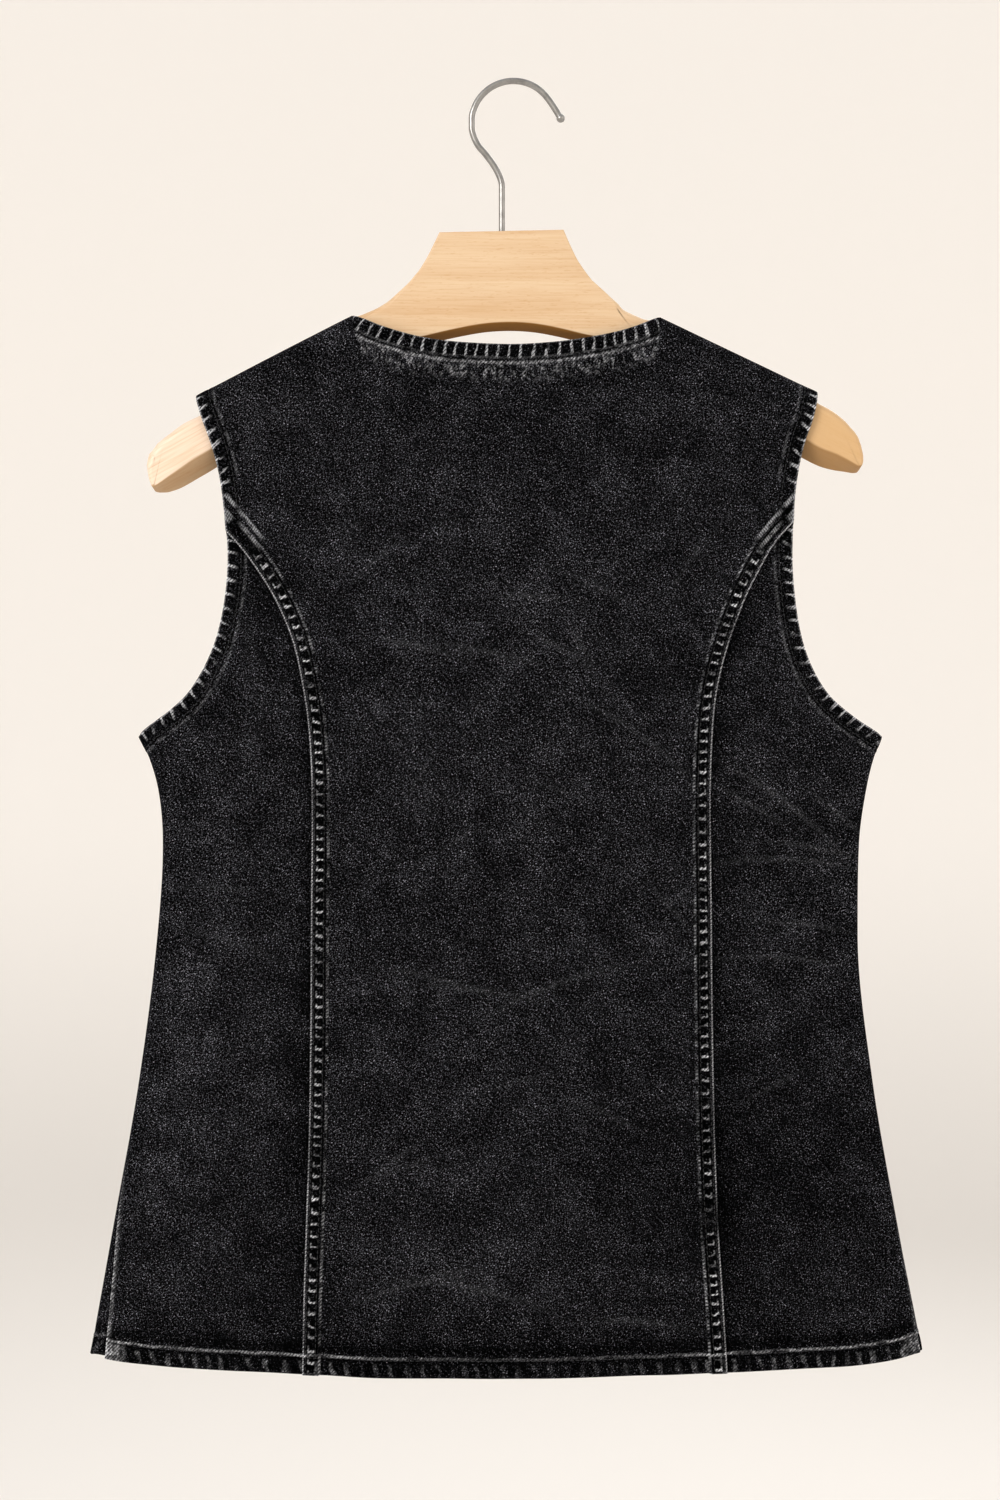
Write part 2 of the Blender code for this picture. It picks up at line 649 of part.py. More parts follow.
def centre_back(material):
    """The centre back: neck and shoulders above, upper armholes and princess laps at its sides."""
    sides = []
    for side in (0, 1):
        armhole = armhole_run(side, -1, shoulder(TIPS[side]), JUNCTIONS[side])
        sides.append(Outline([armhole, princess_run(side, np.zeros_like)], [0.0, JUNCTION_ROW, 1.0]))
    feet = [edge.at(np.array(1.0))[0] for edge in sides]
    top = Outline([shoulder_run(TIPS[0], NECK_POINTS[0]), back_neck_run(),
                   shoulder_run(NECK_POINTS[1], TIPS[1])], [0.0, *NECK_COLUMNS, 1.0])
    bottom = Outline([hem_run(*feet)], [0.0, 1.0])
    bands = (0.0, LAP, LAP + STEP)
    middle = [*CENTRE_COLUMNS, 0.5, *(1.0 - share for share in CENTRE_COLUMNS[::-1])]
    rows = list(np.linspace(FIRST_ROW, JUNCTION_ROW, 6)) + list(np.linspace(JUNCTION_ROW, 0.5, 9)[1:])
    rows += list(np.linspace(0.5, LAST_ROW, 10)[1:])
    panel = Panel(-1, sides[0], sides[1], top, bottom, (bands, middle, bands), (ROLL_ROWS, rows, HEM_ROWS))
    row_share = np.array([0.0] * len(ROLL_ROWS) + rows + [1.0] * len(HEM_ROWS))
    column_share = np.array([0.0] * len(bands) + middle + [1.0] * len(bands))
    lapped = panel.near(left=LAP, right=LAP) * (row_share > JUNCTION_ROW - NEAR)[:, None]
    in_neck = (column_share > NECK_COLUMNS[0] + NEAR) & (column_share < NECK_COLUMNS[1] - NEAR)
    neck = panel.near(top=TURN) * in_neck
    armholes = panel.near(left=LAP, right=LAP) * (row_share < JUNCTION_ROW + NEAR)[:, None]
    armholes = armholes * (panel.from_top > 0.0)[:, None]
    turned = np.maximum(np.maximum(neck, armholes), panel.near(bottom=HEM_TURN))
    return panel.solid("centre_back", LAP_RISE * lapped, turned, material)


def side_back(side, material):
    """A side back: the lower armhole above, the side seam outside, its inner edge under the princess lap."""
    def under(length):
        return (LAP + SEAM_GAP) * ramp(length, 0.0, LAP_RUN_IN) - SEAM_GAP

    name = ("side_back_left", "side_back_right")[side]
    inner = princess_run(side, under)
    outer = side_run(side, -1)
    armhole = armhole_run(side, -1, JUNCTIONS[side], UNDERARM)
    armhole[0] = inner[0]
    hem = hem_run(inner[-1, 0], outer[-1, 0])
    outer[-1] = hem[-1]
    if side == 0:
        armhole = armhole[::-1]
        hem = hem[::-1]
    left, right = mirrored(side, (Outline([inner], [0.0, 1.0]), Outline([outer], [0.0, 1.0])))
    top = Outline([armhole], [0.0, 1.0])
    bottom = Outline([hem], [0.0, 1.0])
    across = ((0.0,), SIDE_COLUMNS, FOLD_COLUMNS)
    down = ((0.0, TURN, TURN + STEP), list(SEAM_ROWS), HEM_ROWS)
    panel = Panel(-1, left, right, top, bottom, turned_round(side, across), down)
    turned = panel.near(top=TURN, bottom=HEM_TURN)
    return panel.solid(name, np.zeros_like(turned), turned, material)


def front(side, material):
    """A front: shoulder above, neck and closure inside, armhole and side seam outside.

    The wearer's right front, on +X, laps over the left one.
    """
    name = ("front_left", "front_right")[side]
    sign = SIGNS[side]
    neck = front_neck_run(side)
    foot = float(hem_line(-sign * CLOSURE))
    closure = np.array([neck[-1], (-sign * CLOSURE, foot)])
    inner = Outline([neck, closure], [0.0, NECK_ROW, 1.0])
    armhole = armhole_run(side, 1, shoulder(TIPS[side]), UNDERARM)
    seam = side_run(side, 1)
    hem = hem_run(-sign * CLOSURE, seam[-1, 0])
    seam[-1] = hem[-1]
    outer = Outline([armhole, seam], [0.0, ARM_ROW, 1.0])
    over = shoulder_run(NECK_POINTS[side], TIPS[side])
    if side == 0:
        over = over[::-1]
        hem = hem[::-1]
    left, right = mirrored(side, (inner, outer))
    top = Outline([over], [0.0, 1.0])
    bottom = Outline([hem], [0.0, 1.0])
    lap_edge = 2 * CLOSURE + CLOSURE_CLEAR
    inner_bands = (0.0, TURN, TURN + STEP, lap_edge, lap_edge + 2 * STEP)
    outer_bands = FOLD_COLUMNS + (TURN, TURN + STEP) + (WRAP_COLUMNS if side == 0 else ())
    across = (inner_bands, FRONT_COLUMNS, outer_bands)
    rows = list(np.linspace(FIRST_ROW, NECK_ROW, 6)) + list(np.linspace(NECK_ROW, ARM_ROW, 4)[1:])
    rows += [ARM_ROW + (1.0 - ARM_ROW) * share for share in SEAM_ROWS]
    panel = Panel(1, left, right, top, bottom, turned_round(side, across), (ROLL_ROWS, rows, HEM_ROWS))
    row_share = np.array([0.0] * len(ROLL_ROWS) + rows + [1.0] * len(HEM_ROWS))
    edges = ("left", "right") if side == 1 else ("right", "left")
    off_the_seam = (panel.from_top > TURN + STEP)[:, None]
    above_seam = (row_share < ARM_ROW + NEAR)[:, None]
    armhole_turn = panel.near(**{edges[1]: TURN}) * above_seam * off_the_seam
    turned = np.maximum(panel.near(**{edges[0]: TURN}) * off_the_seam, armhole_turn)
    turned = np.maximum(turned, panel.near(bottom=HEM_TURN))
    rise = np.zeros_like(turned)
    if side == 1:
        rise = LAP_RISE * panel.near(left=lap_edge) * (row_share > LAPPED_ROW)[:, None]
    return panel.solid(name, rise, turned, material)


def button(number, height, material):
    """A round shank button, its profile turned about the closure's own normal."""
    place = form(np.array(0.0), np.array(height), 1)
    out = normal(np.array(0.0), np.array(height), 1)
    base = place + out * LAP_RISE
    beside = np.array([1.0, 0.0, 0.0])
    above = np.cross(out, beside)
    angle = np.arange(BUTTON_SIDES) * 2 * pi / BUTTON_SIDES
    ring = np.cos(angle)[:, None] * beside + np.sin(angle)[:, None] * above
    points = [base + ring * radius + out * height_out for radius, height_out in BUTTON_PROFILE]
    poles = [[base + out * BUTTON_PROFILE[end][1]] for end in (0, -1)]
    points = np.concatenate(points + poles)
    faces = []
    for row in range(len(BUTTON_PROFILE) - 1):
        for spot in range(BUTTON_SIDES):
            following = (spot + 1) % BUTTON_SIDES
            low = row * BUTTON_SIDES
            high = low + BUTTON_SIDES
            faces.append((low + spot, low + following, high + following, high + spot))
    last = (len(BUTTON_PROFILE) - 1) * BUTTON_SIDES
    foot = len(points) - 2
    for spot in range(BUTTON_SIDES):
        following = (spot + 1) % BUTTON_SIDES
        faces.append((foot, following, spot))
        faces.append((foot + 1, last + spot, last + following))
    return mesh_object("button_%d" % number, points, faces, material)


# The hanger.

def seat_points(side):
    """The stretch of an arm that carries the cloth, just under the shoulder's inner face."""
    sign = SIGNS[side]
    return [(sign * place, float(top_line(sign * place)) - WALL - REST, 1.0, 0.0) for place in SEAT]


def hanger_outline():
    """The hanger's outline, clockwise from the crown's right corner: across, height, round and lift."""
    right = [(*row, 0.0) for row in CROWN_RIGHT] + seat_points(1)
    left = seat_points(0)[::-1] + [(*row, 0.0) for row in CROWN_LEFT[::-1]]
    return np.array(right + list(ARM_END_RIGHT) + list(ARCH) + list(ARM_END_LEFT) + left)


def inset(outline, distance):
    """The outline moved in by the distance, each corner along the line that halves it."""
    ahead = np.roll(outline, -1, axis=0) - outline
    ahead /= np.linalg.norm(ahead, axis=1, keepdims=True)
    behind = np.roll(ahead, 1, axis=0)
    inward = np.stack([ahead[:, 1] + behind[:, 1], -ahead[:, 0] - behind[:, 0]], axis=1)
    inward /= np.linalg.norm(inward, axis=1, keepdims=True)
    spread = inward[:, 0] * ahead[:, 1] - inward[:, 1] * ahead[:, 0]
    return outline + inward * (distance / np.maximum(spread, MITRE))[:, None]


def hanger_body(material):
    """The wooden hanger: its outline carried round a section with rounded edges, and a hole for the stem."""
    outline = hanger_outline()
    count = len(outline)
    size = SHARP + (ROUND - SHARP) * outline[:, 2]
    rings = []
    for turn in np.radians(ARM_ROUND_ANGLES):
        ring = inset(outline[:, :2], size * (1.0 - np.cos(turn)))
        out = np.sign(turn) * (ARM_THICK / 2 - size) + size * np.sin(turn)
        lift = outline[:, 3] * (0.5 - out / ARM_THICK)
        rings.append(np.stack([ring[:, 0], out, ring[:, 1] + lift], axis=1))
    faces = [list(range(count)), list(range(len(rings) * count - 1, (len(rings) - 1) * count - 1, -1))]
    for row in range(len(rings) - 1):
        for spot in range(count):
            low = row * count + spot
            low_next = row * count + (spot + 1) % count
            faces.append([low, low + count, low_next + count, low_next])
    item = mesh_object("hanger_body", np.concatenate(rings), faces, material)
    drill = bpy.data.meshes.new("stem_hole")
    shape = bmesh.new()
    bmesh.ops.create_cone(shape, cap_ends=True, segments=16, radius1=WIRE + SEAM_GAP, radius2=WIRE + SEAM_GAP,
                          depth=STEM_HOLE_LENGTH)
    middle = STEM_FOOT - SEAM_GAP + STEM_HOLE_LENGTH / 2
    bmesh.ops.translate(shape, verts=shape.verts, vec=(STEM, 0.0, middle))
    shape.to_mesh(drill)
    shape.free()
    cutter = bpy.data.objects.new("stem_hole", drill)
    cutter.hide_render = True
    cutter.display_type = 'WIRE'
    bpy.context.scene.collection.objects.link(cutter)
    hole = item.modifiers.new("stem_hole", 'BOOLEAN')
    hole.operation = 'DIFFERENCE'
    hole.solver = 'EXACT'
    hole.object = cutter


def hook_path():
    """The wire's middle line, from the ball round the loop and down the stem."""
    angles = np.radians(np.linspace(LOOP_FROM, LOOP_TO, LOOP_POINTS))
    loop = [(LOOP_CENTRE[0] + LOOP_RADIUS * np.cos(angle), LOOP_CENTRE[1] + LOOP_RADIUS * np.sin(angle))
            for angle in angles]
    stem = [(STEM, height) for height in (STEM_TOP, *STEM_STATIONS, STEM_FOOT)]
    return dense([HOOK_END, *loop, STEM_BEND, *stem], steps=2)


def hanger_hook(material):
    """The hook: a wire of one curve, whose first points swell into the ball at its end."""
    path = hook_path()
    length = lengths(path)
    ball_at = np.arange(0.0, 2 * BALL, BALL / 4)
    keep = length > ball_at[-1] + BALL / 4
    at = np.concatenate([ball_at, length[keep]])
    across = np.interp(at, length, path[:, 0])
    height = np.interp(at, length, path[:, 1])
    swell = np.sqrt(np.maximum(1.0 - ((at - BALL) / BALL) ** 2, BALL_TIP))
    radius = np.where(at <= BALL, BALL * swell, np.maximum(BALL * swell * (at < 2 * BALL), WIRE))
    curve = bpy.data.curves.new("hanger_hook", 'CURVE')
    curve.dimensions = '3D'
    curve.bevel_depth = WIRE
    curve.bevel_resolution = WIRE_SIDES // 2 - 2
    curve.use_fill_caps = True
    spline = curve.splines.new('POLY')
    spline.points.add(len(at) - 1)
    for point, x, z, size in zip(spline.points, across, height, radius):
        point.co = (x, 0.0, z, 1.0)
        point.radius = size / WIRE
    curve.materials.append(material)
    item = bpy.data.objects.new("hanger_hook", curve)
    bpy.context.scene.collection.objects.link(item)


def main():
    for item in list(bpy.data.objects):
        bpy.data.objects.remove(item, do_unlink=True)
    denim, wood, steel, metal = (make_material(*finish) for finish in FINISHES)
    centre_back(denim)
    for side in (0, 1):
        side_back(side, denim)
        front(side, denim)
    for number, height in enumerate(BUTTON_HEIGHTS, start=1):
        button(number, height, metal)
    hanger_body(wood)
    hanger_hook(steel)


main()
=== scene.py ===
"""A sleeveless black denim vest, hanging with its back to the camera on a wooden hanger with a steel hook.

The cloth lies on one developed form, and every panel is drawn on it in pattern coordinates (across, up).
Metres.  +Z is up, +X is the wearer's right, -Y is the vest's back and +Y its buttoned front.
"""

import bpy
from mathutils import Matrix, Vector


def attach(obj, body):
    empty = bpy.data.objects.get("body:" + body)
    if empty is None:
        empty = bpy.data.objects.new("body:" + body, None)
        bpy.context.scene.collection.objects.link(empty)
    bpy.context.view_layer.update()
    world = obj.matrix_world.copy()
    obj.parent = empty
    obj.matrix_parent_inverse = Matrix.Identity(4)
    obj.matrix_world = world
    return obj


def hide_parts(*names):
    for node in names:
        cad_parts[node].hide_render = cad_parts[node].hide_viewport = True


bl_info = {
    "name": "Denim Vest on a Hanger",
    "version": (1, 0, 0),
    "blender": (4, 5, 0),
    "location": "3D View > Sidebar > Vest",
    "description": "Builds a worn denim vest on its hanger, piece by piece",
    "category": "Add Mesh",
}

from functools import lru_cache
from math import cos, exp, log, pi, radians, sin, tau
import bpy
import numpy as np
from bpy.props import FloatProperty, FloatVectorProperty, PointerProperty
from bpy.types import Operator, Panel, PropertyGroup

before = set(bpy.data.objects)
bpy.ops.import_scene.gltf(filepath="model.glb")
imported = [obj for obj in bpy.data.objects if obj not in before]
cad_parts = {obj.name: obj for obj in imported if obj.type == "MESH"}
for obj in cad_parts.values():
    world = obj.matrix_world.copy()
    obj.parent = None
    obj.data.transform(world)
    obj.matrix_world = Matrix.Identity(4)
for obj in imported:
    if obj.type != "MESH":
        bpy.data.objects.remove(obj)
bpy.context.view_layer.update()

LEFT, RIGHT = 0, 1
SIGNS = (-1.0, 1.0)
BACK, FRONT = -1, 1

# The cloth, as the frame's solids have it.
WALL = 0.0014
TURN_OUT = 0.0003
TURN_IN = 0.0005
TURN = 0.0100
HEM_TURN = 0.0125
STEP = 0.0016
SEAM_GAP = 0.0003
LAP = 0.0095
LAP_CLEAR = 0.00035
LAP_RISE = WALL + TURN_OUT + LAP_CLEAR
LAP_RUN_IN = 0.025
CLOSURE = 0.0150
CLOSURE_CLEAR = 0.0010
FOLD = 0.0040
ROLL = 0.0105
SETTLE = 0.120
LENS_POWER = 1.3
FOLD_ROUND = 0.46               # a folded edge's radius, as a share of its thickness

BODY = (
    # height   left     right   back    front
    (-0.1900, -0.2620, 0.2620, 0.0130, 0.0140),
    (-0.3000, -0.2520, 0.2520, 0.0160, 0.0180),
    (-0.3700, -0.2410, 0.2410, 0.0180, 0.0210),
    (-0.4070, -0.2317, 0.2320, 0.0185, 0.0220),
    (-0.4210, -0.2250, 0.2268, 0.0183, 0.0220),
    (-0.4400, -0.2195, 0.2223, 0.0178, 0.0215),
    (-0.4750, -0.2166, 0.2177, 0.0170, 0.0210),
    (-0.5300, -0.2199, 0.2169, 0.0165, 0.0200),
    (-0.6200, -0.2312, 0.2259, 0.0178, 0.0210),
    (-0.7100, -0.2470, 0.2414, 0.0186, 0.0220),
    (-0.8050, -0.2640, 0.2600, 0.0190, 0.0230),
)
TOP_LINE = (
    # across   height
    (-0.2400, -0.2175), (-0.1960, -0.1950), (-0.1500, -0.1710), (-0.1200, -0.1556), (-0.0986, -0.1448),
    (-0.0800, -0.1362), (-0.0500, -0.1268), (0.0000, -0.1220), (0.0500, -0.1275), (0.0760, -0.1375),
    (0.0936, -0.1458), (0.1200, -0.1584), (0.1500, -0.1727), (0.1918, -0.1926), (0.2400, -0.2145),
)
NECK_POINTS = (-0.0986, 0.0936)
TIPS = (-0.1960, 0.1918)
BACK_NECK = (
    # across   height
    (-0.0911, -0.1478), (-0.0818, -0.1518), (-0.0700, -0.1556), (-0.0582, -0.1588), (-0.0400, -0.1618),
    (-0.0186, -0.1634), (0.0000, -0.1640), (0.0269, -0.1626), (0.0470, -0.1599), (0.0671, -0.1559),
    (0.0804, -0.1518),
)
ARMHOLE = (
    # height   left     right
    (-0.2100, -0.1912, 0.1880),
    (-0.2250, -0.1858, 0.1828),
    (-0.2450, -0.1805, 0.1785),
    (-0.2700, -0.1772, 0.1760),
    (-0.2950, -0.1752, 0.1753),
    (-0.3200, -0.1768, 0.1768),
    (-0.3400, -0.1808, 0.1798),
    (-0.3550, -0.1858, 0.1840),
    (-0.3700, -0.1935, 0.1908),
    (-0.3820, -0.2020, 0.1990),
    (-0.3910, -0.2120, 0.2090),
    (-0.3980, -0.2215, 0.2185),
    (-0.4035, -0.2285, 0.2272),
)
UNDERARM = -0.4070
JUNCTIONS = (-0.2800, -0.2740)
PRINCESS = (
    # height   left     right
    (-0.2900, -0.1671, 0.1622),
    (-0.3050, -0.1560, 0.1538),
    (-0.3200, -0.1466, 0.1462),
    (-0.3350, -0.1394, 0.1402),
    (-0.3500, -0.1338, 0.1350),
    (-0.3750, -0.1284, 0.1285),
    (-0.4000, -0.1247, 0.1253),
    (-0.4500, -0.1225, 0.1238),
    (-0.5200, -0.1229, 0.1245),
    (-0.6400, -0.1240, 0.1261),
    (-0.7000, -0.1256, 0.1279),
    (-0.7600, -0.1275, 0.1318),
    (-0.8050, -0.1282, 0.1343),
)
HEM = (
    # across   height
    (-0.2700, -0.7912), (-0.2620, -0.7927), (-0.2400, -0.7965), (-0.1900, -0.7995), (-0.1300, -0.8012),
    (-0.0700, -0.8030), (0.0000, -0.8030), (0.0800, -0.8016), (0.1700, -0.7995), (0.2130, -0.7980),
    (0.2400, -0.7948), (0.2580, -0.7902), (0.2700, -0.7890),
)
SEAM_SHIFT = (
    # height   left    right
    (-0.4000, 0.0000, 0.0000),
    (-0.6400, 0.0000, 0.0000),
    (-0.7000, 0.0036, 0.0000),
    (-0.7500, 0.0082, 0.0012),
    (-0.8050, 0.0126, 0.0040),
)
FRONT_NECK_DROP = -0.3400
FRONT_NECK_BOW = (0.078, -0.2550)
FRONT_ARMHOLE_IN = 0.0100
BUTTON_HEIGHTS = (-0.3620, -0.4500, -0.5380, -0.6260, -0.7140)

# The shares of an edge at which one run of it ends and the next one begins.
JUNCTION_ROW = 0.20             # of the centre back's sides: the armhole, then the princess seam
NECK_COLUMNS = (0.25, 0.75)     # of its top: shoulder, neck, shoulder
NECK_ROW = 0.26                 # of a front's inner edge: the neck, then the closure
ARM_ROW = 0.38                  # of a front's outer edge: the armhole, then the side seam

# The rows and columns of each panel's grid: distances in from an edge, closest where the edge rolls over.
EDGE_LINES = (0.0, 0.00010, 0.00026, 0.00050, 0.00090, 0.0014, 0.0020, 0.0028, 0.0036, 0.0044, 0.0052,
              0.0060, 0.0068, 0.0075, 0.0080, 0.0086, 0.0092, 0.0098, 0.0104, 0.0111, 0.0120, 0.0132,
              0.0148, 0.0170)
HEM_LINES = (0.0, 0.00010, 0.00026, 0.00050, 0.00090, 0.0016, 0.0028, 0.0042, 0.0056, 0.0070, 0.0084,
             0.0096, 0.0104, 0.0110, 0.0116, 0.0122, 0.0128, 0.0135, 0.0144, 0.0158, 0.0178, 0.0200)
ROLL_LINES = (0.0, 0.00010, 0.00026, 0.00050, 0.00090, 0.0015, 0.0024, 0.0034, 0.0044, 0.0054, 0.0064,
              0.0074, 0.0082, 0.0088, 0.0094, 0.0100, 0.0106, 0.0113, 0.0121, 0.0131, 0.0145, 0.0162,
              0.0185, 0.0215, 0.0250)
SEAM_LINES = (0.0, 0.00010, 0.00026, 0.00050, 0.00090, 0.0016, 0.0026, 0.0038, 0.0052, 0.0068, 0.0086,
              0.0106, 0.0130, 0.0158, 0.0190)

BACK_COUNTS = ((20, 48, 20), (50, 262))     # how many lines lie between the breaks, across and down
SIDE_COUNTS = ((46,), (240,))
FRONT_COUNTS = ((74,), (62, 30, 176))
NOMINAL = (0.4, 0.6)            # a panel's rough width and length, before its lines are measured
LEAST_SQUARE = 0.45             # the sine below which a slanting crossing spaces its lines no wider

# Where the cloth is stitched, in from each edge, and how far apart the stitching's puckers are.
LAP_STITCHES = (0.0020, 0.0080)
BAND_STITCH = 0.0086
HEM_STITCH = 0.0110
LAP_PERIOD = 0.0068
BAND_PERIOD = 0.0078
NECK_PERIOD = 0.0068
HEM_PERIOD = 0.0092
NEAR_EDGE = 0.036               # how far in the distance from an edge is measured to its very line
STITCH_DIP = 0.00024            # how deep a row of stitches draws the cloth in
STITCH_PULL = 0.0012            # and how far to each side
STITCH_SHOWN = 0.78             # share of the pitch in which a stitch lies on the cloth
STITCH_START = 0.11             # share of the pitch before it
STITCH_SWELL = (0.55, 0.95, 1.0, 0.95, 0.55)        # its rings' radii, as shares of the thread's own
STITCH_SIDES = 5

# What the material reads: the distance in from an edge, a count along it and how worn it is.
MARKS = ("lap", "band", "neck", "hem", "strand")
STRAND_WAY = (0.765, 0.644)     # the worn strands' slope where lap and armhole meet, as sine and cosine
STRAND_LINE = -0.3005           # where the first of them lies, across that way
STRAND_PITCH = 0.0016           # from one bare thread to the next along a strand
STRANDS = (
    # across in mm: from, to, softly by   along in threads: from, to, softly by   how bare
    (-1.2, 1.2, 0.5, 52.0, 58.6, 0.6, 1.0),
    (-1.2, 1.2, 0.5, 61.5, 73.0, 4.0, 1.0),
    (-5.9, -3.7, 0.5, 65.0, 76.0, 2.5, 0.8),
    (-10.2, -5.2, 0.6, 55.8, 61.2, 0.8, 0.7),
)
DYE_LIMIT = 2.1                 # the inverse of the grey that the lightest washed threads come near

# Where wear and dye show across each turned edge: from and to, in millimetres in from it.
LAP_ROPE = 1.25                 # the roped fold's width
LAP_RUNGS = (3.2, 7.3)
LAP_HOOKS = (3.2, 4.1)          # where a rung bends along the lap
LAP_DOTS = (9.8, 11.0)          # the row over the lap's hidden edge
LAP_DYED = (1.9, 9.3)
NECK_BARS = (9.4, 8.2)
NECK_LINE = (8.2, 9.6)          # along the stitching
NECK_RIDGE = (11.2, 12.8)       # over the turned edge's own end
NECK_STREAKS = (12.0, 22.0)
BAND_RIDGE = (10.6, 12.2)
HEM_RIDGE = (11.4, 13.0)
SEAM_WORN = (1.0, 0.5)          # how rubbed the left and the right side seam are near the hem

# Creases that the hanging and the wear have left.  A ridge has a depth above 0 and a trough one below.
BACK_CREASES = (
    # across  height   degrees length  width    depth    worn
    (-0.0155, -0.3547, -11.0, 0.034, 0.0050, 0.00070, 0.10),
    (0.0307, -0.3529, -30.0, 0.022, 0.0045, 0.00075, 0.10),
    (0.0210, -0.3630, 12.0, 0.040, 0.0120, -0.00110, 0.00),
    (0.1690, -0.4464, -36.0, 0.034, 0.0045, 0.00090, 0.17),
    (0.1760, -0.4590, -28.0, 0.038, 0.0080, -0.00110, 0.00),
    (0.1700, -0.4834, -2.0, 0.040, 0.0042, 0.00080, 0.13),
    (0.1850, -0.5240, -7.0, 0.026, 0.0040, 0.00060, 0.11),
    (-0.0185, -0.5632, -8.0, 0.028, 0.0045, 0.00070, 0.12),
    (0.0276, -0.5601, 20.0, 0.036, 0.0045, 0.00070, 0.11),
    (0.0100, -0.5730, 4.0, 0.060, 0.0140, -0.00090, 0.00),
    (-0.0647, -0.6727, 17.0, 0.018, 0.0040, 0.00050, 0.06),
    (-0.0185, -0.7477, -12.0, 0.040, 0.0050, 0.00080, 0.12),
    (0.0300, -0.7600, -7.0, 0.044, 0.0080, -0.00080, 0.00),
    (0.0798, -0.7680, -5.0, 0.030, 0.0045, 0.00060, 0.12),
    (-0.1595, -0.3547, -78.0, 0.036, 0.0090, 0.00120, 0.02),
    (-0.1740, -0.4200, -40.0, 0.050, 0.0160, -0.00130, 0.00),
    (-0.1700, -0.5350, -18.0, 0.036, 0.0060, 0.00060, 0.05),
    (-0.1850, -0.6500, 66.0, 0.070, 0.0150, 0.00130, 0.00),
    (0.1900, -0.6600, -70.0, 0.075, 0.0160, 0.00120, 0.00),
    (-0.0500, -0.2700, 58.0, 0.060, 0.0170, -0.00120, 0.00),
    (0.0900, -0.2500, -52.0, 0.055, 0.0150, -0.00110, 0.00),
    (0.0700, -0.6300, 78.0, 0.090, 0.0200, 0.00110, 0.00),
    (-0.0850, -0.6000, -82.0, 0.080, 0.0180, 0.00100, 0.00),
    (0.0141, -0.3206, -3.0, 0.022, 0.0034, 0.00060, 0.11),
    (0.0430, -0.3510, -58.0, 0.012, 0.0032, 0.00060, 0.16),
    (-0.0570, -0.3513, -14.0, 0.024, 0.0034, 0.00060, 0.13),
    (0.0520, -0.3140, -26.0, 0.022, 0.0032, 0.00055, 0.12),
    (0.0750, -0.4030, -34.0, 0.034, 0.0036, 0.00065, 0.13),
    (0.1920, -0.4770, -12.0, 0.026, 0.0032, 0.00070, 0.14),
    (0.1500, -0.4500, -30.0, 0.018, 0.0030, 0.00060, 0.17),
    (0.2050, -0.4560, -40.0, 0.018, 0.0032, 0.00070, 0.17),
    (-0.0480, -0.5560, -14.0, 0.020, 0.0032, 0.00060, 0.14),
    (0.1000, -0.5140, -50.0, 0.016, 0.0030, 0.00055, 0.12),
    (0.1640, -0.5440, -3.0, 0.034, 0.0032, 0.00060, 0.13),
    (0.1640, -0.6230, 26.0, 0.018, 0.0032, 0.00060, 0.13),
    (-0.0640, -0.7460, 15.0, 0.028, 0.0034, 0.00060, 0.14),
    (-0.0360, -0.7370, 8.0, 0.020, 0.0030, 0.00050, 0.10),
    (-0.0720, -0.6690, 36.0, 0.020, 0.0034, 0.00060, 0.12),
    (-0.1830, -0.5010, -4.0, 0.022, 0.0034, 0.00060, 0.10),
    (-0.0300, -0.4700, 30.0, 0.014, 0.0030, 0.00050, 0.10),
    (0.0300, -0.4400, -20.0, 0.016, 0.0030, 0.00050, 0.10),
    (-0.0550, -0.4300, 60.0, 0.014, 0.0032, 0.00050, 0.09),
    (0.0050, -0.6200, 14.0, 0.018, 0.0030, 0.00050, 0.10),
    (0.0600, -0.6400, -24.0, 0.016, 0.0030, 0.00050, 0.10),
    (-0.0850, -0.3000, 40.0, 0.018, 0.0034, 0.00050, 0.09),
    (0.1100, -0.3000, 55.0, 0.020, 0.0034, 0.00055, 0.10),
)
FRONT_CREASES = (
    (-0.0900, -0.2700, 58.0, 0.055, 0.0130, -0.00120, 0.00),
    (0.1000, -0.2600, -50.0, 0.060, 0.0140, -0.00120, 0.00),
    (-0.1650, -0.4350, 34.0, 0.040, 0.0060, 0.00090, 0.09),
    (-0.1600, -0.4550, 26.0, 0.044, 0.0100, -0.00110, 0.00),
    (0.1720, -0.4500, -30.0, 0.038, 0.0055, 0.00080, 0.09),
    (0.1500, -0.5100, -8.0, 0.046, 0.0050, 0.00060, 0.07),
    (-0.1450, -0.5300, 6.0, 0.040, 0.0050, 0.00060, 0.07),
    (-0.0700, -0.3800, -16.0, 0.034, 0.0060, 0.00070, 0.05),
    (0.0850, -0.4000, 20.0, 0.038, 0.0070, 0.00070, 0.05),
    (-0.1000, -0.6500, 80.0, 0.090, 0.0180, 0.00120, 0.00),
    (0.1150, -0.6350, -82.0, 0.095, 0.0180, 0.00130, 0.00),
    (0.1950, -0.6900, -68.0, 0.070, 0.0150, 0.00110, 0.00),
    (-0.1980, -0.6700, 70.0, 0.075, 0.0160, 0.00120, 0.00),
    (0.0700, -0.7450, 9.0, 0.050, 0.0060, 0.00070, 0.06),
    (-0.0800, -0.7550, -8.0, 0.046, 0.0055, 0.00060, 0.06),
)

